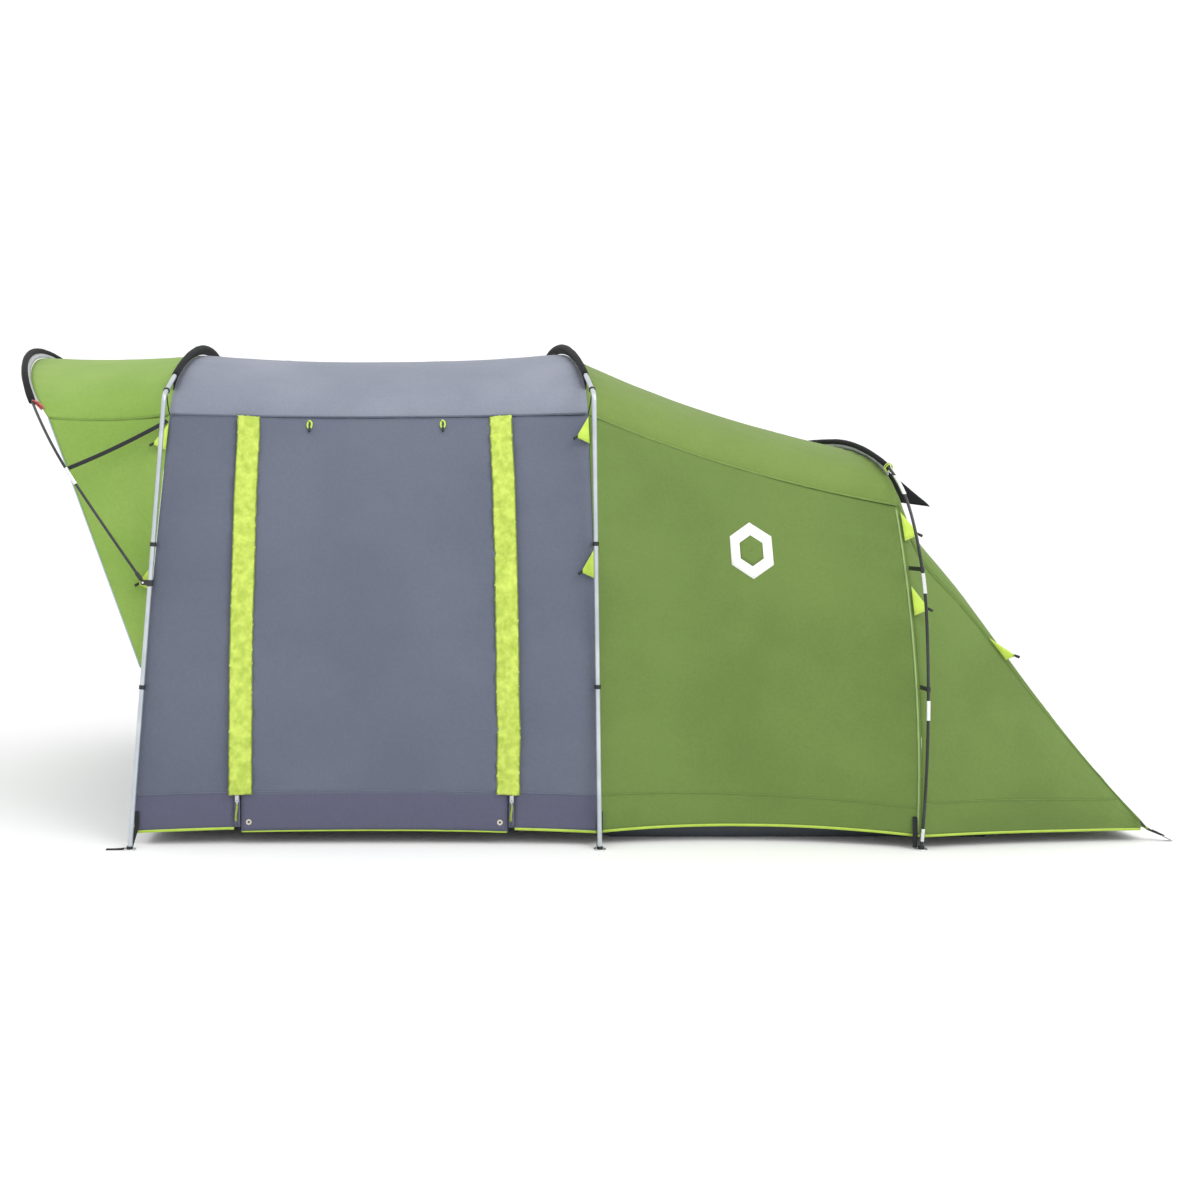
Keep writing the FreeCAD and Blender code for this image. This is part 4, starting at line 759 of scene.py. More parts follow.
TENT = Tent()
CORE_LIVING = Vector((-0.8, 0, 0.7))
CORE_BEDROOM = Vector((0.9, 0, 0.4))
CORE_TAIL = Vector((1.3, 0, 0.05))
CORE_PORCH = Vector((-1.7, 0, 0.9))
BAND_F = 0.090


def sew(name: str, cloth: Cloth, route: Sequence[tuple[float, float]], width: float, thickness: float,
        finish: Finish, body: str, lift: float = 0.0008) -> bpy.types.Object:
    """Sews a tape along a route over a panel, and rides it on the panel's body."""
    path = [cloth.at(u, v, lift) for u, v in route]
    tape = ribbon(name, path, [cloth.normal(u, v) for u, v in route], width, thickness, finish)
    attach(tape, body)
    return tape


@dataclass
class Fly:
    """The fly sheet of the living bay, the bedroom and the tail."""

    tent: Tent = TENT
    hem_width: float = 0.010
    hem_thickness: float = 0.0026
    seam_gap: float = 0.001

    def build(self) -> None:
        """Builds every fixed panel of the fly."""
        self.roofs()
        for side in (NEAR, FAR):
            self.living_walls(side)
            self.bedroom_side(side)
        self.rear_wall()

    def roofs(self) -> None:
        """The living bay's and the bedroom's roofs."""
        tent = self.tent

        def living(u: float, v: float) -> Vector:
            turn = turn_of(v)
            draw = tent.seam_waist * abs(math.sin(math.radians(turn)))
            return drawn(tent.front.roof(turn), tent.mid.roof(turn), u, draw,
                         tent.roof_sag * math.cos(math.radians(turn)))

        def bedroom(u: float, v: float) -> Vector:
            turn = turn_of(v)
            draw = tent.bedroom_waist * abs(math.sin(math.radians(turn)))
            return drawn(tent.mid.roof(turn), tent.rear.roof(turn), u, draw, tent.bedroom_sag)

        # Each roof's cloth is a lighter copy of its walls' cloth: painted light from above.
        for name, shape, core, finish, size, tape, sleeves in (
                ("living_roof", living, CORE_LIVING, Finish.ROOF_GREY, (1.8, 2.3), Finish.SLATE_TAPE,
                 ("sleeve_front", "sleeve_mid")),
                ("bedroom_roof", bedroom, CORE_BEDROOM, Finish.LEAF_ROOF, (1.25, 2.6), Finish.LEAF_ROOF_TAPE,
                 ("sleeve_mid", "sleeve_rear"))):
            cloth = Cloth(name + "_cloth", shape, core, finish,
                          creases(len(name), size, 0.004, 0.0012), (64, 110), lift=-0.001)
            piece = cloth.build()
            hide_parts(name)
            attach(piece, ROOT)
            declare(cloth)
            for end, v in (("near", 0.004), ("far", 0.996)):
                sew(f"{name}_seam_{end}", cloth, [(u, v) for u in steps(40, 0.004, 0.996)], 0.007, 0.0012,
                    tape, ROOT)
            LOG.info("%s", name)

    def wall(self, name: str, surface: Surface, core: Vector, finish: Finish, size: tuple[float, float],
             seed: float, counts: tuple[int, int],
             band: Callable[[float], float] = lambda u: BAND_F) -> Cloth:
        """One wall panel with its hem binding and the seam above its mud band."""
        cloth = Cloth(name + "_cloth", surface, core, finish, creases(seed, size), counts, lift=-0.001)
        piece = cloth.build()
        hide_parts(name)
        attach(piece, ROOT)
        grey = finish is Finish.WALL_GREY
        declare(cloth)
        tape = Finish.SLATE_TAPE if grey else Finish.LEAF_TAPE
        seam = [(u, band(u)) for u in steps(40, 0.002, 0.998) if band(u) < 0.98]
        sew(name + "_band", cloth, seam, 0.006, 0.0012, tape, ROOT)
        sew(name + "_hem", cloth, [(u, 0.003) for u in steps(24, 0.002, 0.998)], self.hem_width,
            self.hem_thickness, Finish.LIME_BINDING, ROOT, 0.0)
        LOG.info("%s", name)
        return cloth

    def living_walls(self, side: int) -> None:
        """The fixed walls before and behind a side door."""
        tent, label = self.tent, SIDE_NAMES[side]

        def ahead(u: float, v: float) -> Vector:
            start = tent.front.wall(v, side).x + self.seam_gap
            return tent.living_wall(start + (tent.door_start - tent.zip_half - start) * u, v, side)

        def behind(u: float, v: float) -> Vector:
            start = tent.door_end + tent.zip_half
            return tent.living_wall(start + (tent.mid_x - self.seam_gap - start) * u, v, side)

        grey = Finish.WALL_GREY
        self.wall(f"wall_front_{label}", ahead, CORE_LIVING, grey, (0.39, 1.66), 3 + side, (18, 72))
        self.wall(f"wall_mid_{label}", behind, CORE_LIVING, grey, (0.32, 1.66), 5 + side, (16, 72))

    def bedroom_side(self, side: int) -> None:
        """The bedroom's wall and the three-cornered panel behind the rear hoop."""
        tent, label = self.tent, SIDE_NAMES[side]
        gap = 0.0008
        wall = self.wall(f"wall_bedroom_{label}",
                         lambda u, v: tent.bedroom_wall(gap + u * (1 - 2 * gap), v, side),
                         CORE_BEDROOM, Finish.LEAF_GREEN, (1.24, 1.5), 11 + side, (54, 72))
        sew(f"rear_seam_{label}", wall, [(0.992, v) for v in steps(40, 0.01, 0.99)], 0.007, 0.0016,
            Finish.PALE_LEAF, ROOT)
        Emblem(wall, side).build()
        tail = self.wall(f"tail_side_{label}", lambda u, v: tent.tail_side(gap + u * 0.968, v, side),
                         CORE_TAIL, Finish.LEAF_GREEN, (1.1, 1.3), 17 + side, (44, 52),
                         lambda u: 0.115 / (1.0 - 0.968 * u))
        sew(f"tail_ridge_{label}", tail, [(u, 0.997) for u in steps(30, 0.004, 0.996)], 0.008, 0.0014,
            Finish.LEAF_TAPE, ROOT)

    def rear_wall(self) -> None:
        """The sloping rear wall with its hem."""
        tent = self.tent
        cloth = Cloth("rear_wall_cloth", lambda u, v: tent.rear_wall(0.0008 + u * 0.9988, turn_of(v)),
                      CORE_TAIL, Finish.LEAF_GREEN, creases(23, (1.9, 2.5), 0.004), (60, 84), lift=-0.001)
        piece = cloth.build()
        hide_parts("rear_wall")
        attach(piece, ROOT)
        declare(cloth)
        sew("rear_wall_hem", cloth, [(0.997, v) for v in steps(60, 0.002, 0.998)], self.hem_width,
            self.hem_thickness, Finish.LIME_BINDING, ROOT, 0.0)
        LOG.info("rear wall")


@dataclass
class Emblem:
    """A plain printed badge on the bedroom wall: a white hexagon with a smaller one left out of it."""

    cloth: Cloth
    side: int
    middle: tuple[float, float] = (0.530, 0.770)
    height: float = 0.232
    width: float = 0.194
    hollow: float = 0.55
    span: float = 1.24
    tall: float = 1.652
    fall: float = 0.377

    def build(self) -> None:
        """Lays the badge on the cloth as thin printed shapes."""
        label = SIDE_NAMES[self.side]
        hexagon = [(math.sin(a), math.cos(a)) for a in (math.pi * k / 3 for k in range(6))]
        middle = [(x * self.hollow, y * self.hollow) for x, y in hexagon]
        self.print_shape(f"badge_{label}", hexagon, Finish.WHITE_PRINT, 0.0012)
        self.print_shape(f"badge_middle_{label}", middle, Finish.LEAF_GREEN, 0.0020)

    def print_shape(self, name: str, outline: Sequence[tuple[float, float]], finish: Finish,
                    lift: float) -> None:
        """One printed shape, made of rings of small cells that follow the wall.

        Args:
            name: The piece's name.
            outline: Corners in half widths and half heights.
            finish: Its ink.
            lift: How far it stands off the wall.
        """
        corners = []
        for (ax, ay), (bx, by) in zip(outline, list(outline[1:]) + [outline[0]]):
            for t in (0.0, 0.25, 0.5, 0.75):
                corners.append((ax + (bx - ax) * t, ay + (by - ay) * t))
        middle = (sum(c[0] for c in corners) / len(corners), sum(c[1] for c in corners) / len(corners))
        level = self.middle[1] * (self.tall - self.fall * self.middle[0])
        points, faces = [], []
        shares = (0.0, 0.34, 0.67, 1.0)
        for share in shares:
            for x, y in corners:
                px = middle[0] + (x - middle[0]) * share
                py = middle[1] + (y - middle[1]) * share
                u = self.middle[0] + px * self.width / 2 / self.span
                v = (level + py * self.height / 2) / (self.tall - self.fall * u)
                points.append(self.cloth.at(u, v, lift))
        count = len(corners)
        for i in range(len(shares) - 1):
            for j in range(count):
                k = (j + 1) % count
                face = (i * count + j, (i + 1) * count + j, (i + 1) * count + k, i * count + k)
                faces.append(face if self.side == FAR else face[::-1])
        piece = new_piece(name, points, faces, finish, [(0.0, 0.0)] * len(points))
        thick = piece.modifiers.new("ink", "SOLIDIFY")
        thick.thickness, thick.offset = 0.0004, 0
        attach(piece, ROOT)


@dataclass
class SideDoor:
    """A side door: its panel, the covers over its zips, its toggles and the zips themselves."""

    side: int
    tent: Tent = TENT
    flap_width: float = 0.089
    overhang: float = 0.032
    flap_lift: float = 0.014
    zip_pitch: float = 0.0045

    @property
    def body(self) -> str:
        """The body that the door moves with."""
        return f"side_door_{SIDE_NAMES[self.side]}"

    def build(self) -> None:
        """Builds the door and all that is on it."""
        label = SIDE_NAMES[self.side]
        self.panel(label)
        for end, x, inner in (("front", self.tent.door_start, 1), ("rear", self.tent.door_end, -1)):
            self.flap(f"{label}_{end}", x, inner)
            self.zip(f"{label}_{end}", x)
            self.pull(f"{label}_{end}", x)
        LOG.info("side door %s", label)

    def panel(self, label: str) -> None:
        """The door's own cloth, with its hem, band seam, bindings and toggles."""
        tent = self.tent
        edge = tent.zip_half + 0.003
        low, head = -0.012 / 1.7, 1 - 0.001 / 1.7

        def surface(u: float, v: float) -> Vector:
            x = tent.door_start + edge + (tent.door_end - tent.door_start - 2 * edge) * u
            return tent.living_wall(x, low + (head - low) * v, self.side)

        cloth = Cloth(f"side_door_{label}_cloth", surface, CORE_LIVING, Finish.WALL_GREY,
                      creases(31 + self.side, (1.04, 1.66), 0.0045, 0.0016, 0.0018), (52, 80), lift=-0.001)
        piece = cloth.build()
        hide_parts(f"side_door_{label}")
        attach(piece, self.body)
        declare(cloth)
        band = [(u, BAND_F + 0.006) for u in steps(30, 0.002, 0.998)]
        sew(f"door_band_{label}", cloth, band, 0.006, 0.0012, Finish.SLATE_TAPE, self.body)
        sew(f"door_hem_{label}", cloth, [(u, 0.0015) for u in steps(30, 0.002, 0.998)], 0.005, 0.0026,
            Finish.LIME_BINDING, self.body, 0.0)
        for number, u in enumerate((0.235, 0.77)):
            self.toggle(f"door_toggle_{label}_{number + 1}", cloth, u)

    def toggle(self, name: str, cloth: Cloth, u: float) -> None:
        """A lime loop and a small black toggle, sewn at the door's head to hold it rolled up."""
        top, out = cloth.at(u, 0.994, 0.002), cloth.normal(u, 0.99)
        down, along = (cloth.at(u, 0.96) - cloth.at(u, 0.994)).normalized(), Vector((1, 0, 0))
        loop = [top,
                top + along * 0.012 + down * 0.014 + out * 0.004,
                top + along * 0.010 + down * 0.036 + out * 0.005,
                top + along * 0.001 + down * 0.044 + out * 0.005,
                top - along * 0.008 + down * 0.032 + out * 0.004,
                top - along * 0.006 + down * 0.012 + out * 0.003]
        path = []
        for i in range(len(loop)):
            a, b, c = loop[i - 1], loop[i], loop[(i + 1) % len(loop)]
            path += bezier([(a + b) / 2, b, (b + c) / 2], 5)[:-1]
        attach(ribbon(name + "_loop", path, [out] * len(path), 0.0075, 0.0018, Finish.LIME_TAB), self.body)
        bar = top + along * 0.002 + down * 0.047 + out * 0.007
        stations = [bar + down * 0.012, bar + down * 0.008, bar, bar - down * 0.006, bar - down * 0.009]
        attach(tube(name, stations, 0.0046, Finish.NYLON, 12), self.body)

    def flap(self, label: str, x_zip: float, inner: int) -> None:
        """The cover over one zip, sewn to the door's side of it and loose on the other.

        Args:
            label: Side and end.
            x_zip: The zip's station along the tent.
            inner: 1 where the door lies towards +X of the zip, else -1.
        """
        tent = self.tent
        foot, head = 0.145 / 1.7, 1 - 0.002 / 1.7
        seed = x_zip * 3 + self.side

        def surface(u: float, v: float) -> Vector:
            f = foot + (head - foot) * v
            weave = 0.004 * noise.noise(Vector((v * 7, seed, 0)))
            x = x_zip + inner * (self.flap_width - self.overhang - self.flap_width * u) + weave
            base = tent.living_wall(x, f, self.side)
            slope = (tent.living_wall(x, min(f + 0.01, 1), self.side)
                     - tent.living_wall(x, min(f + 0.01, 1) - 0.02, self.side))
            out = Vector((0, self.side * slope.z, -self.side * slope.y)).normalized()
            lift = 0.003 + (self.flap_lift - 0.003) * math.sin(math.pi * min(u, 0.78) / 1.5)
            return base + out * lift

        def rumple(u: float, v: float) -> float:
            y = v * 1.5
            ripple = noise.noise(Vector((u * 1.4, y * 9, seed))) * 0.0066
            fold = noise.noise(Vector((u * 3 + y * 8, y * 20 - u * 4, seed + 3)))
            crisp = max(0.0, 1 - abs(fold) * 4) ** 2 * 0.0056
            fine = noise.noise(Vector((u * 5 - y * 6, y * 38, seed + 5))) * 0.0034
            edge = 0.0026 * math.sin(2 * math.pi * y / 0.050 + 4 * noise.noise(Vector((y * 6, u, seed))))
            return ripple + crisp + fine + edge * (abs(u - 0.5) * 2) ** 3

        cloth = Cloth(f"zip_cover_{label}", surface, CORE_LIVING, Finish.LIME_COVER, rumple, (14, 190))
        piece = cloth.build()
        # Dark strips down both edges: the cover's edge, with its shadow painted in.
        for edge, u in (("sewn", 0.012), ("free", 0.988)):
            seam = [(u, v) for v in steps(120, 0.002, 0.998)]
            sew(f"zip_cover_{edge}_{label}", cloth, seam, 0.0036, 0.0012, Finish.COVER_EDGE, self.body)
        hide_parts(f"storm_flaps_{SIDE_NAMES[self.side]}")
        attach(piece, self.body)
        declare(cloth)

    def zip(self, label: str, x_zip: float) -> None:
        """The zip's tape and its coil of teeth."""
        tent = self.tent
        fs = steps(60, 0.006, 0.992)
        path = [tent.living_wall(x_zip, f, self.side) - Vector((0, self.side * 0.0006, 0)) for f in fs]
        out = Vector((0, self.side, 0.08)).normalized()
        tape = ribbon(f"zip_tape_{label}", path, [out] * len(path), 0.022, 0.0012, Finish.ZIP_TAPE)
        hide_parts("side_zips")
        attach(tape, ROOT)
        count = int(1.6 / self.zip_pitch)
        points, faces = [], []
        for k in range(count):
            f = 0.008 + 0.982 * k / count
            centre = tent.living_wall(x_zip, f, self.side) + out * 0.0009
            sway = 0.0012 if k % 2 else -0.0012
            corner = [(-0.0028 + sway, -0.0012, 0), (0.0028 + sway, -0.0012, 0), (0.0028 + sway, 0.0012, 0),
                      (-0.0028 + sway, 0.0012, 0), (-0.0022 + sway, -0.0008, 0.0014),
                      (0.0022 + sway, -0.0008, 0.0014), (0.0022 + sway, 0.0008, 0.0014),
                      (-0.0022 + sway, 0.0008, 0.0014)]
            base = len(points)
            points += [centre + Vector((a, 0, 0)) + Vector((0, 0, b)) + out * c for a, b, c in corner]
            faces += [tuple(base + i for i in quad) for quad in
                      ((3, 2, 1, 0), (4, 5, 6, 7), (0, 1, 5, 4), (1, 2, 6, 5), (2, 3, 7, 6), (3, 0, 4, 7))]
        flat = [(0.0, 0.0)] * len(points)
        coil = new_piece(f"zip_coil_{label}", points, faces, Finish.ZIP_COIL, flat, False)
        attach(coil, ROOT)

    def pull(self, label: str, x_zip: float) -> None:
        """The olive tape knotted through a slider's puller."""
        low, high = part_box(f"zip_slider_{label}")
        top = Vector((x_zip, (high.y if self.side > 0 else low.y) + self.side * 0.0025, low.z + 0.010))
        path = bezier([top,
                       top + Vector((0.003, self.side * 0.004, -0.020)),
                       top + Vector((-0.007, 0, -0.036)),
                       top + Vector((-0.003, self.side * 0.002, -0.064))], 14)
        ups = [Vector((0, self.side, 0))] * len(path)
        pull = ribbon(f"zip_pull_{label}", path, ups, 0.008, 0.0024, Finish.OLIVE_PULL)
        knot = tube(f"zip_knot_{label}", [path[11], path[12], path[13]], 0.0052, Finish.OLIVE_PULL, 10)
        for piece in (pull, knot):
            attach(piece, f"zip_slider_{label}")


@dataclass
class Canopy:
    """The porch canopy: its roof, its wings, its piping, braces and ties."""

    tent: Tent = TENT
    fade_start: float = -1.660
    fade_end: float = -2.100

    def bend(self, piece: bpy.types.Object) -> None:
        """Bakes a piece's placement into its mesh."""
        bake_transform(piece)

    def roof_point(self, u: float, v: float) -> Vector:
        """A point of the canopy's roof, from the bow to the front hoop."""
        turn = turn_of(v)
        draw = self.tent.canopy_waist * abs(math.sin(math.radians(turn)))
        return drawn(self.tent.bow.roof(turn), self.tent.front.roof(turn), 0.001 + 0.998 * u, draw,
                     self.tent.canopy_sag)

    def wing_point(self, u: float, v: float, side: int) -> Vector:
        """A point of a wing, from the front hoop to its free edge and from its foot to the roof."""
        tent = self.tent
        low = (tent.wing_foot - tent.front.hem) / (tent.front.seam - tent.front.hem)
        f = v
        start = tent.front.wall(low + (1 - low) * f, side) - Vector((0.001, 0, 0))
        corner = tent.front.wall(low, side) - Vector((0.018, 0, 0))
        end = corner.lerp(tent.bow.roof(90 * side), f)
        return drawn(start, end, u, tent.canopy_waist * f, tent.canopy_sag * f)

    def build(self) -> None:
        """Builds the canopy."""
        # The canopy's green carries painted light: the light shining through the cloth.
        roof = Cloth("canopy_roof_cloth", self.roof_point, CORE_PORCH, Finish.CANOPY_GREEN,
                     creases(41, (0.75, 2.7), 0.003, 0.0012, 0.002), (40, 110), lift=-0.001)
        piece = roof.build()
        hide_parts("canopy_roof")
        declare(roof)
        self.bend(piece)
        for end, v in (("near", 0.004), ("far", 0.996)):
            path = [roof.at(u, v, 0.0008) for u in steps(24, 0.01, 0.99)]
            ups = [roof.normal(u, v) for u in steps(24, 0.01, 0.99)]
            self.bend(ribbon(f"canopy_seam_{end}", path, ups, 0.010, 0.0016, Finish.CANOPY_TAPE))
        for side in (NEAR, FAR):
            self.wing(side)
            self.brace(side)
            self.tie(side)
        LOG.info("canopy")

    def wing(self, side: int) -> None:
        """A wing with the pale piping along its free edge."""
        label = SIDE_NAMES[side]
        cloth = Cloth(f"canopy_wing_{label}_cloth", lambda u, v: self.wing_point(u, v, side), CORE_PORCH,
                      Finish.CANOPY_GREEN, creases(43 + side, (0.5, 1.1), 0.003, 0.0014, 0.0014), (30, 56),
                      lift=-0.001)
        piece = cloth.build()
        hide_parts(f"canopy_wing_{label}")
        declare(cloth)
        self.bend(piece)
        self.bend(tube(f"wing_piping_{label}", [cloth.at(1.0, v) for v in steps(50, 0.004, 0.996)], 0.0022,
                       Finish.PIPING, 10))

    def brace(self, side: int) -> None:
        """The webbing brace from the bow back to the front hoop's seam."""
        label = SIDE_NAMES[side]
        low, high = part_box("canopy_braces")
        start = Vector((low.x + 0.004, side * (high.y - 0.006), low.z + 0.008))
        end = self.tent.front.wall(0.985, side) + Vector((-0.006, side * 0.008, 0))
        path = [start.lerp(end, t) - Vector((0, 0, 0.008 * 4 * t * (1 - t))) for t in steps(24)]
        across = Vector((0, side, 0.35)).normalized()
        piece = ribbon(f"canopy_brace_{label}", path, [across] * 24, 0.018, 0.002, Finish.BLACK_STRAP)
        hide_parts("canopy_braces")
        self.bend(piece)

    def tie(self, side: int) -> None:
        """The tie at the end of the bow's sleeve: a black cinch and a faded red tape."""
        label = SIDE_NAMES[side]
        hoop = HOOPS["bow"]
        for name, offset, width, finish in (("cinch", 0.020, 0.016, Finish.BLACK_STRAP),
                                            ("tie_tape", -0.026, 0.020, Finish.RED_TIE)):
            point, along = hoop.near_height(hoop.low + offset, side)
            target = self.tent.bow.roof(78 * side)
            path = bezier([point, point.lerp(target, 0.5) + Vector((0, 0, 0.012)), target], 10)
            piece = ribbon(f"bow_{name}_{label}", path, [along] * 10, width, 0.002, finish)
            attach(piece, BOW_BODY)


@dataclass
class Hoop:
    """A hoop's centre line as tangent arcs from its crown, and the cloth sleeve sewn over it.

    Attributes:
        section: The fly's section in the same plane.
        top: The crown's height in the plane.
        arcs: Radius and turn in degrees of each arc, from the crown outwards.
        low: The height where the sleeve ends.
        name: The sleeve's name.
        body: The body it moves with.
        nodes: The CAD nodes that the sleeve stands for.
        pale: Whether a pale tape shows between the sleeve and the roof.
    """

    section: Section
    top: float
    arcs: Sequence[tuple[float, float]]
    low: float
    name: str
    body: str
    nodes: Sequence[str]
    pale: bool = False
    radius: float = 0.0135

    def line(self, side: int) -> list[tuple[float, float]]:
        """Points across and up along one half of the hoop, from the crown to the sleeve's end."""
        points = []
        y, z, angle = 0.0, self.top, 0.0
        for radius, turn_deg in self.arcs:
            turn = math.radians(turn_deg)
            cy, cz = y - radius * math.sin(angle), z - radius * math.cos(angle)
            number = max(6, int(radius * turn / 0.03))
            for part in steps(number):
                a = angle + turn * part
                point = (cy + radius * math.sin(a), cz + radius * math.cos(a))
                if point[1] >= self.low and (not points or point[0] > points[-1][0] + 1e-5):
                    points.append(point)
            angle += turn
            y, z = cy + radius * math.sin(angle), cz + radius * math.cos(angle)
        return [(side * p[0], p[1]) for p in points]

    def near_height(self, height: float, side: int) -> tuple[Vector, Vector]:
        """The hoop's point and heading close to a height in its plane."""
        points = [self.section.place(*p) for p in self.line(side)]
        heights = [p[1] for p in self.line(side)]
        i = min(range(len(points)), key=lambda k: abs(heights[k] - height))
        return points[i], headings(points)[i]

    def sleeve(self) -> None:
        """The sleeve: a rumpled tube that narrows to the flange sewn into the roof's seam."""
        half = self.line(1)
        across = [(-y, z) for y, z in reversed(half[1:])] + half
        centres = [self.section.place(y, z) for y, z in across]
        lengths = run_lengths(centres)
        lean = math.radians(self.section.lean)
        thin = Vector((math.cos(lean), 0, -math.sin(lean)))
        rings, tape_rings = [], []
        turns = [math.radians(a) for a in range(50, 311, 20)]
        for k, ((y, _), centre) in enumerate(zip(across, centres)):
            turn = math.degrees(math.asin(max(-1.0, min(1.0, y / self.section.half))))
            foot = self.section.roof(turn)
            down = (foot - centre).normalized()
            depth = (foot - centre).length - 0.0015
            rumple = 1 + 0.07 * noise.noise(Vector((lengths[k] * 16, 0.3, self.top)))
            radius = self.radius * rumple * (1.0 if 0 < k < len(across) - 1 else 0.94)
            ring = [centre + down * math.cos(a) * radius + thin * math.sin(a) * radius for a in turns]
            limit = 0.42 if self.pale else 0.97
            neck = max(depth * 0.62, self.radius) if not self.pale else max(depth * 0.36, self.radius * 0.8)
            ring = ([centre + down * depth * limit + thin * 0.0014, centre + down * neck + thin * 0.0024]
                    + ring
                    + [centre + down * neck - thin * 0.0024, centre + down * depth * limit - thin * 0.0014])
            rings.append(ring)
            if self.pale:
                tape_rings.append([centre + down * depth * a + thin * b for a, b in
                                   ((0.38, 0.0020), (0.98, 0.0020), (0.98, -0.0020), (0.38, -0.0020))])
        around = [0.004 * j for j in range(len(rings[0]))]
        piece = sweep(self.name, rings, Finish.BLACK_CLOTH, lengths, around)
        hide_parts(*self.nodes)
        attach(piece, self.body)
        if self.pale:
            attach(sweep(self.name + "_tape", tape_rings, Finish.GREY_TAPE, lengths,
                          [0.0, 0.010, 0.010, 0.0]), self.body)
        LOG.info("%s", self.name)


CROWN_TURN = math.degrees(math.asin(0.985 / 2.14931))
HOOPS = {
    "front": Hoop(TENT.front, 2.104, [(2.14931, CROWN_TURN)], 1.865, "sleeve_front", ROOT,
                  ["front_sleeve", "sleeve_webs"]),
    "mid": Hoop(TENT.mid, 2.104, [(2.14931, CROWN_TURN)], 1.865, "sleeve_mid", ROOT, ["mid_sleeve"]),
    "rear": Hoop(TENT.rear, 1.640, [(9.0, 3.76), (1.6, 19.2), (0.45, 42), (0.9, 25.04)], 1.478,
                 "sleeve_rear", ROOT, ["rear_sleeve"], True, 0.0112),
    "bow": Hoop(TENT.bow, 1.278, [(1.68, 30), (0.93, 32), (0.5, 28)], 0.847, "bow_sleeve_cloth", BOW_BODY,
                ["bow_sleeve", "bow_web"], True),
}


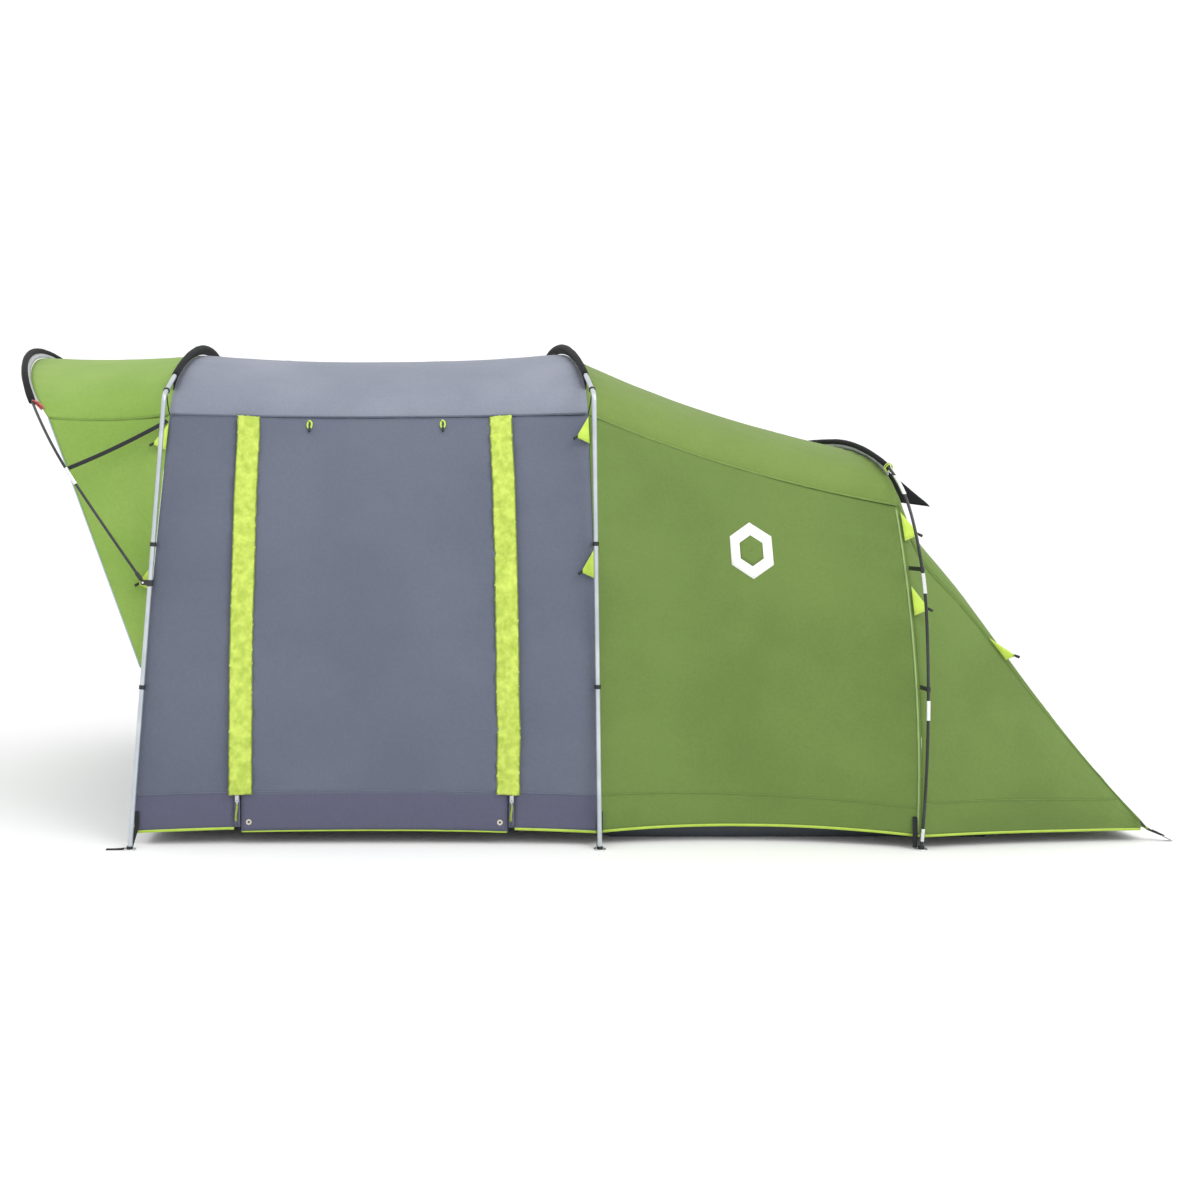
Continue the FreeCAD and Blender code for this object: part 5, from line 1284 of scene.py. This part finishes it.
@dataclass
class Rigging:
    """Sleeves, elastic ties, foot straps, peg loops and guy points."""

    tent: Tent = TENT
    tab_length: float = 0.112
    tab_reach: float = 0.054

    def build(self) -> None:
        """Builds the rigging."""
        for hoop in HOOPS.values():
            hoop.sleeve()
        for side in (NEAR, FAR):
            for label, section in (("front", self.tent.front), ("mid", self.tent.mid)):
                self.elbow_tie(f"{label}_{SIDE_NAMES[side]}", section, side)
            self.rear_tie(side)
            self.foot_straps(side)
            self.tail_strap(side)
            self.guy_points(side)
        LOG.info("rigging")

    def elbow_tie(self, label: str, section: Section, side: int) -> None:
        """The rubber collar above a steel elbow and the elastic that pulls the roof's seam out to it."""
        rise, run = 0.098, 0.190
        along = (section.place(-side * run, rise) - section.place(0, 0)).normalized()
        at = section.place(side * 1.175, 1.767) + along * 0.048
        rings = []
        out = section.place(side * rise, run) - section.place(0, 0)
        out.normalize()
        flat = along.cross(out).normalized()
        for k in range(7):
            swell = 0.0105 + 0.0032 * math.sin(math.pi * k / 6)
            centre = at + along * (k - 3) * 0.0022
            rings.append([centre + (out * math.cos(a) + flat * math.sin(a)) * swell
                          for a in (2 * math.pi * j / 20 for j in range(20))])
        collar = sweep(f"elbow_collar_{label}", rings, Finish.ELASTIC)
        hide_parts("elbow_ties")
        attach(collar, ROOT)
        start = at - out * 0.012
        end = section.place(side * (section.half + 0.005), section.seam + 0.002)
        middle = start.lerp(end, 0.5) + section.place(side * 0.006, -0.012) - section.place(0, 0)
        path = bezier([start, middle, end], 14)
        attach(tube(f"elbow_elastic_{label}", path, 0.0024, Finish.ELASTIC), ROOT)

    def rear_tie(self, side: int) -> None:
        """The yellow-green cord that ties the rear sleeve's end to the pole."""
        hoop = HOOPS["rear"]
        point, along = hoop.near_height(hoop.low, side)
        out = Vector((0, side, 0.4)).normalized()
        flat = along.cross(out).normalized()
        out = flat.cross(along).normalized()
        foot = Vector((self.tent.rear_x, side * 1.2992, 0.0))
        up = Vector((-0.0394, side * 0.2789, 0.9596))
        stations = [foot + up * t for t in (0.038, 0.040, 0.088, 0.090)]
        tip = tube(f"rear_foot_tip_{SIDE_NAMES[side]}", stations, 0.0074, Finish.FERRULE, 20)
        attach(tip, ROOT)
        for number in (0, 1):
            centre = point + along * 0.012 * number
            loop = [centre + (out * math.cos(a) + flat * math.sin(a)) * 0.0158 + along * 0.003 * math.sin(a)
                    for a in steps(25, 0, 2 * math.pi)]
            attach(tube(f"rear_tie_{SIDE_NAMES[side]}_{number + 1}", loop, 0.0018, Finish.LIME_TAB, 8), ROOT)

    def foot_straps(self, side: int) -> None:
        """The webbing from the hem's corner to the ring at each hoop's foot, and the front peg loop."""
        label = SIDE_NAMES[side]
        for name, section in (("front", self.tent.front), ("mid", self.tent.mid), ("rear", self.tent.rear)):
            aside = {"front": 0.012, "mid": 0.012, "rear": -0.024}[name]
            hem = section.wall(0.016, side) + Vector((aside, 0, 0))
            high = hem + Vector((0, side * 0.003, 0.060))
            start = hem + Vector((0, side * 0.006, 0))
            foot = Vector((section.foot_x + min(aside, 0), side * (1.279 if aside > 0 else 1.299), 0.008))
            path = [high, high.lerp(start, 0.5), start] + bezier([start, start.lerp(foot, 0.6)
                                                                 + Vector((0, 0, 0.004)), foot], 9)[1:]
            ups = [Vector((0, side, 0.2)).normalized()] * 3 + [Vector((0, side, 0.9)).normalized()] * 8
            strap = ribbon(f"foot_strap_{name}_{label}", path, ups, 0.019, 0.002, Finish.BLACK_STRAP)
            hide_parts("foot_straps")
            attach(strap, ROOT)
        low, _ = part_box("peg_straps")
        start = Vector((self.tent.front_x - 0.021, side * 1.300, 0.005))
        end = Vector((low.x + 0.002, side * 1.300, 0.0015))
        path = bezier([start, start.lerp(end, 0.3) - Vector((0, 0, 0.003)), end], 12)
        loop = ribbon(f"peg_loop_{label}", path, [Vector((0, 0, 1))] * 12, 0.019, 0.0022, Finish.BLACK_STRAP)
        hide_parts("peg_straps")
        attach(loop, ROOT)

    def tail_strap(self, side: int) -> None:
        """The webbing from the tail's corner to the ground, through its buckle."""
        label = SIDE_NAMES[side]
        tent = self.tent
        start = Vector((tent.tail_x - 0.045, side * (tent.tail_half - 0.010), tent.tail_hem + 0.050))
        middle = Vector((tent.tail_x + 0.003, side * (tent.tail_half - 0.014), tent.tail_hem))
        end = Vector((tent.tail_x + 0.100, side * (tent.tail_half - 0.014), 0.0022))
        path = [start.lerp(middle, t) for t in (0.0, 0.5)] + [middle.lerp(end, t) for t in steps(12)]
        ups = [Vector((0.45, side * 0.7, 0.55)).lerp(Vector((0.3, 0, 1)), min(1.0, k / 9)) for k in range(14)]
        strap = ribbon(f"tail_strap_{label}", path, ups, 0.019, 0.002, Finish.BLACK_STRAP)
        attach(strap, ROOT)

    def guy_points(self, side: int) -> None:
        """The lime webbing triangles at the seams, each with a black loop and runner at its tip."""
        tent = self.tent
        spots = ((tent.front, -1, 1.665), (tent.front, -1, 1.105),
                 (tent.mid, -1, 1.690), (tent.mid, -1, 1.150),
                 (tent.rear, 1, 1.300), (tent.rear, 1, 1.015))
        number = 0
        for section, direction, high in spots:
            span = self.tab_length / (section.seam - section.hem)
            f = (high - section.hem) / (section.seam - section.hem)
            number += 1
            self.guy_triangle(number, section.wall(f, side), section.wall(f - span, side), direction, side)
        ridge_high, ridge_low = tent.tail_side(0.355, 0.998, side), tent.tail_side(0.45, 0.998, side)
        low = ridge_high + (ridge_low - ridge_high).normalized() * self.tab_length
        self.guy_triangle(number + 1, ridge_high, low, 1, side)

    def guy_triangle(self, number: int, high: Vector, low: Vector, direction: int, side: int) -> None:
        """One triangle of folded webbing with its loop and runner."""
        label = SIDE_NAMES[side]
        stand = Vector((0, side * 0.008, 0))
        high, low = high + stand, low + stand
        tip = (low * 2 + high) / 3 + Vector((direction * self.tab_reach, side * 0.014, -0.012))
        out = Vector((0, side, 0))
        middle = (low + high) / 2
        away = (tip - middle).normalized()
        points, faces, uvs = [], [], []
        rows = 6
        for layer in (0.0010, -0.0010):
            for t in steps(rows):
                for s in steps(5):
                    point = low.lerp(high, s).lerp(tip, t * 0.96)
                    puff = 0.003 * math.sin(math.pi * t) * math.sin(math.pi * s)
                    points.append(point + out * (layer + puff))
                    uvs.append((t * 0.06, (s - 0.5) * 0.04))
        for base in (0, rows * 5):
            for i in range(rows - 1):
                for j in range(4):
                    face = (base + i * 5 + j, base + i * 5 + j + 1, base + (i + 1) * 5 + j + 1,
                            base + (i + 1) * 5 + j)
                    faces.append(face)
        rim = ([j for j in range(5)] + [i * 5 + 4 for i in range(1, rows)]
               + [(rows - 1) * 5 + j for j in range(3, -1, -1)] + [i * 5 for i in range(rows - 2, 0, -1)])
        for a, b in zip(rim, rim[1:] + rim[:1]):
            faces.append((a, a + rows * 5, b + rows * 5, b))
        piece = new_piece(f"guy_triangle_{label}_{number}", points, faces, Finish.LIME_TAB, uvs)
        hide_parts("guy_tabs")
        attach(piece, ROOT)
        loop = ribbon(f"guy_loop_{label}_{number}", [tip - away * 0.010, tip, tip + away * 0.004], [out] * 3,
                      0.009, 0.003, Finish.BLACK_STRAP)
        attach(loop, ROOT)
        start = tip + away * 0.001
        runner = tube(f"guy_runner_{label}_{number}",
                      [start, start + away * 0.002, start + away * 0.009, start + away * 0.012], 0.0056,
                      Finish.NYLON, 12)
        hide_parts("guy_runners")
        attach(runner, ROOT)


@dataclass
class RearBrow:
    """The stiffened black brow over the rear vent, with a cheek at each end."""

    tent: Tent = TENT
    half: float = 1.100
    reach: float = 0.187
    drop: float = 0.148
    cheek_foot: float = 0.050

    def lip(self, turn: float) -> Vector:
        """The brow's free edge."""
        return self.tent.rear.roof(turn) + Vector((self.reach, 0, -self.drop))

    def build(self) -> None:
        """Builds the brow and its cheeks."""
        limit = math.degrees(math.asin(self.half / self.tent.rear.half))

        def surface(u: float, v: float) -> Vector:
            turn = -limit + 2 * limit * v
            root = self.tent.rear.roof(turn) + Vector((0.008, 0, 0))
            return root.lerp(self.lip(turn), u) + Vector((0, 0, 0.002 * 4 * u * (1 - u)))

        cloth = Cloth("rear_brow_cloth", surface, Vector((1.3, 0, 0.2)), Finish.BLACK_CLOTH,
                      creases(61, (0.23, 2.4), 0.002, 0.001, 0.001), (14, 90))
        piece = cloth.build()
        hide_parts("rear_brow")
        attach(piece, ROOT)
        declare(cloth)
        rim = [(0.985, v) for v in steps(70, 0.003, 0.997)]
        sew("rear_brow_rim", cloth, rim, 0.010, 0.003, Finish.BLACK_TAPE, ROOT, 0.0)
        for side in (NEAR, FAR):
            edge = 0.0 if side == NEAR else 1.0
            foot = self.tent.rear_wall(self.cheek_foot, limit * side) + Vector((0.006, 0, 0))
            shape = Cloth(f"brow_cheek_{SIDE_NAMES[side]}",
                          lambda u, v, e=edge, f=foot: f.lerp(surface(v, e), 0.03 + 0.97 * u),
                          Vector((1.35, 0, 1.4)), Finish.BLACK_CLOTH, lambda u, v: 0.0, (8, 10))
            cheek = shape.build()
            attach(cheek, ROOT)
            declare(shape)
        LOG.info("rear brow")


@dataclass
class FrontEnd:
    """The front wall in the first hoop's plane and the door in it."""

    tent: Tent = TENT
    door_half: float = 0.520
    door_top: float = 1.640
    door_sill: float = 0.095
    corner: float = 0.160
    gap: float = 0.003

    def in_plane(self, y: float, z: float, back: float) -> Vector:
        """A point of the front hoop's plane, set back behind it."""
        angle = math.radians(self.tent.front.lean)
        return self.tent.front.place(y, z) + Vector((math.cos(angle), 0, -math.sin(angle))) * back

    def edge(self, z: float) -> float:
        """Half the front wall's width at a height in the plane."""
        section = self.tent.front
        if z <= section.seam:
            f = (z - section.hem) / (section.seam - section.hem)
            return section.foot + (section.half - section.foot) * f + 4 * section.bow * f * (1 - f) \
                - self.tent.panel_inset
        share = min(1.0, (z - section.seam + 0.016) / section.rise)
        return (1 - share ** 2) ** (1 / section.power) * (section.half - self.tent.panel_inset)

    def build(self) -> None:
        """Builds the wall, the door and the zip round it."""
        top = self.tent.front.seam + self.tent.front.rise - 0.024

        def wall(u: float, v: float) -> Vector:
            z = self.tent.front.hem + (top - self.tent.front.hem) * v
            return self.in_plane((2 * u - 1) * max(self.edge(z), 0.02), z, self.tent.panel_setback)

        def in_door(u: float, v: float) -> bool:
            z = self.tent.front.hem + (top - self.tent.front.hem) * v
            return abs((2 * u - 1) * self.edge(z)) < self.door_half + 0.006 and \
                self.door_sill - 0.004 < z < self.door_top + 0.004

        relief = creases(71, (2.4, 2.0), 0.0022, 0.001, 0.001)
        cloth = Cloth("front_wall_cloth", wall, Vector((-1.0, 0, 1.0)), Finish.WALL_GREY, relief, (160, 150))
        piece = cloth.build(in_door)
        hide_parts("front_wall")
        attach(piece, ROOT)
        opening = 2 * self.door_half * (self.door_top - self.door_sill) - (2 - math.pi / 2) * self.corner ** 2
        declare(cloth, opening, top - self.tent.front.hem)
        self.door()
        outline = self.door_line(0.012)
        path = [self.in_plane(y, z, self.tent.panel_setback - 0.0012) for y, z in outline]
        ups = [Vector((-1, 0, 0.06)).normalized()] * len(path)
        zip_tape = ribbon("front_zip_tape", path, ups, 0.030, 0.0014, Finish.ZIP_TAPE)
        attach(zip_tape, ROOT)
        LOG.info("front wall and door")

    def door_line(self, grow: float) -> list[tuple[float, float]]:
        """The door's outline from one foot up over its head and down to the other, grown a little."""
        half, top, radius = self.door_half + grow, self.door_top + grow, self.corner + grow
        line = [(-half, z) for z in steps(30, self.door_sill, top - radius)]
        line += [(-half + radius - radius * math.cos(a), top - radius + radius * math.sin(a))
                 for a in steps(10, 0.1, math.pi / 2)]
        line += [(y, top) for y in steps(16, -half + radius + 0.02, half - radius - 0.02)]
        line += [(half - radius + radius * math.sin(a), top - radius + radius * math.cos(a))
                 for a in steps(10, 0.0, math.pi / 2 - 0.1)]
        return line + [(half, z) for z in steps(30, top - radius, self.door_sill)]

    def door(self) -> None:
        """The front door's cloth."""
        def width(z: float) -> float:
            over = z - (self.door_top - self.corner)
            if over <= 0:
                return self.door_half
            return self.door_half - self.corner + math.sqrt(max(self.corner ** 2 - over ** 2, 0.0))

        def surface(u: float, v: float) -> Vector:
            z = self.door_sill + (self.door_top - self.door_sill) * math.sin(v * math.pi / 2)
            return self.in_plane((2 * u - 1) * width(z), z, self.tent.panel_setback + 0.0004)

        cloth = Cloth("front_door_cloth", surface, Vector((-1.0, 0, 1.0)), Finish.WALL_GREY,
                      creases(73, (1.04, 1.55), 0.0022, 0.001, 0.0008), (40, 70))
        piece = cloth.build()
        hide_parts("front_door")
        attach(piece, "front_door")
        declare(cloth, tall=self.door_top - self.door_sill)


@dataclass
class Bedroom:
    """The floor tray and the inner wall with its doorway."""

    start: float = 0.16478
    end: float = 1.69178
    half: float = 1.120
    tub: float = 0.110

    def build(self) -> None:
        """Builds the floor and the inner wall."""
        self.floor()
        self.inner_wall()
        LOG.info("bedroom")

    def floor(self) -> None:
        """The floor: one sheet turned up at its four edges, a little rumpled."""
        run = self.end - self.start

        def fold(share: float, span: float) -> tuple[float, float]:
            total = span + 2 * self.tub
            at = share * total
            if at < self.tub:
                return 0.0, self.tub - at
            if at > total - self.tub:
                return span, at - (total - self.tub)
            return at - self.tub, 0.0

        def surface(u: float, v: float) -> Vector:
            x, rise_x = fold(u, run)
            y, rise_y = fold(v, 2 * self.half)
            rise = max(rise_x, rise_y)
            bumps = 0.0014 * (1 + noise.noise(Vector((x * 5, y * 5, 2.0)))) if rise == 0 else 0.0
            return Vector((self.start + 0.001 + x * (run - 0.002) / run, (y - self.half) * 0.999,
                           0.0006 + bumps + rise * 0.995))

        cloth = Cloth("bedroom_floor_cloth", surface, Vector((0.9, 0, -5.0)), Finish.FLOOR, lambda u, v: 0.0,
                      (70, 90), 0.0004)
        piece = cloth.build()
        piece.modifiers["cloth"].offset = 1
        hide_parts("bedroom_floor")
        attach(piece, ROOT)
        declare(cloth)

    def inner_wall(self) -> None:
        """The breathable wall across the bedroom's mouth, with an open doorway."""
        x = self.start + 0.0075
        low, top = 0.005, 1.560

        def surface(u: float, v: float) -> Vector:
            z = low + (top - low) * v
            half = 1.108 + (0.900 - 1.108) * v
            return Vector((x, (2 * u - 1) * half, z))

        def in_doorway(u: float, v: float) -> bool:
            point = surface(u, v)
            return abs(point.y) < 0.482 and 0.148 < point.z < 1.352

        cloth = Cloth("inner_wall_cloth", surface, Vector((2.0, 0, 0.7)), Finish.INNER,
                      creases(81, (2.2, 1.55), 0.0012, 0.0006, 0.0006), (90, 80), 0.0005)
        piece = cloth.build(in_doorway)
        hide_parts("inner_wall")
        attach(piece, ROOT)
        declare(cloth, 0.96 * 1.2)
        corners = [(-0.49, 0.15), (-0.49, 1.36), (0.49, 1.36), (0.49, 0.15), (-0.49, 0.15)]
        path = []
        for (ay, az), (by, bz) in zip(corners, corners[1:]):
            path += [Vector((x - 0.0016, ay + (by - ay) * t, az + (bz - az) * t))
                     for t in steps(12, 0.01, 0.99)]
        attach(ribbon("inner_doorway_tape", path, [Vector((-1, 0, 0))] * len(path), 0.024, 0.0016,
                       Finish.ZIP_TAPE), ROOT)


@dataclass
class Hardware:
    """The frame's own nodes that stay as they are, in better finishes."""

    def build(self) -> None:
        """Dresses each CAD node that stays in view."""
        finishes = {"front_leg_near": Finish.STEEL_TUBE, "front_leg_far": Finish.STEEL_TUBE,
                    "mid_leg_near": Finish.STEEL_TUBE, "mid_leg_far": Finish.STEEL_TUBE,
                    "front_crown_pole": Finish.FIBREGLASS, "mid_crown_pole": Finish.FIBREGLASS,
                    "rear_pole_sections": Finish.FIBREGLASS, "bow_pole_sections": Finish.FIBREGLASS,
                    "rear_ferrules": Finish.FERRULE, "bow_ferrules": Finish.FERRULE,
                    "bow_sockets": Finish.NYLON, "pivot_clamps": Finish.NYLON, "pivot_pins": Finish.FERRULE,
                    "leg_clips": Finish.NYLON, "rear_clips": Finish.NYLON, "foot_plugs": Finish.NYLON,
                    "foot_rings": Finish.FERRULE, "tail_buckles": Finish.NYLON,
                    "door_eyelets_near": Finish.BRASS, "door_eyelets_far": Finish.BRASS}
        for side in SIDE_NAMES.values():
            for end in ("front", "rear"):
                finishes[f"zip_slider_{side}_{end}"] = Finish.ZINC
        for node, finish in finishes.items():
            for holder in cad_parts[node].material_slots:
                holder.material = finish.material()
        LOG.info("hardware")


@dataclass
class Studio:
    """A plain pale floor, soft light from above and the camera."""

    eye: tuple[float, float, float] = (-0.7132, -5.7811, 1.2641)
    lens_mm: float = 34.93
    sensor_mm: float = 36.0
    shift: tuple[float, float] = (0.1773, -0.0657)

    def build(self) -> None:
        """Sets the stage."""
        size = 60.0
        points = [Vector((-size, -size, 0)), Vector((size, -size, 0)), Vector((size, size, 0)),
                  Vector((-size, size, 0))]
        mesh = bpy.data.meshes.new("ground")
        mesh.from_pydata([tuple(p) for p in points], [], [(0, 1, 2, 3)])
        pale = bpy.data.materials.new("pale_floor")
        pale.use_nodes = True
        shader = pale.node_tree.nodes["Principled BSDF"]
        shader.inputs["Base Color"].default_value = linear("fafafa")
        shader.inputs["Roughness"].default_value = 0.9
        shader.inputs["Specular IOR Level"].default_value = 0.1
        mesh.materials.append(pale)
        ground = bpy.data.objects.new("ground", mesh)
        bpy.context.scene.collection.objects.link(ground)
        ground.location.z = -0.0005
        world = bpy.data.worlds.new("studio")
        world.use_nodes = True
        world.node_tree.nodes["Background"].inputs[0].default_value = (1.0, 1.0, 1.0, 1.0)
        world.node_tree.nodes["Background"].inputs[1].default_value = 1.1
        bpy.context.scene.world = world
        for name, place, energy, spread in (("key", (3.5, -5.0, 6.0), 190.0, 4.0),
                                            ("fill", (-4.0, -3.0, 6.5), 70.0, 5.0)):
            light = bpy.data.lights.new(name, "AREA")
            light.energy, light.size = energy, spread
            lamp = bpy.data.objects.new(name, light)
            lamp.location = place
            lamp.rotation_euler = (Vector((0, 0, 0.8)) - Vector(place)).to_track_quat("-Z", "Y").to_euler()
            bpy.context.scene.collection.objects.link(lamp)
        data = bpy.data.cameras.new("camera")
        data.sensor_width = self.sensor_mm
        data.lens = self.lens_mm
        data.shift_x, data.shift_y = self.shift
        data.clip_end = 200.0
        camera = bpy.data.objects.new("camera", data)
        camera.location = self.eye
        camera.rotation_euler = (math.pi / 2, 0, 0)
        bpy.context.scene.collection.objects.link(camera)
        bpy.context.scene.camera = camera
        bpy.context.scene.view_settings.view_transform = "Standard"


def main() -> None:
    """Builds the tent in order."""
    Studio().build()
    Fly().build()
    for side in (NEAR, FAR):
        SideDoor(side).build()
    Canopy().build()
    Rigging().build()
    RearBrow().build()
    FrontEnd().build()
    Bedroom().build()
    Hardware().build()
    bpy.context.view_layer.update()


if __name__ == "__main__":
    main()
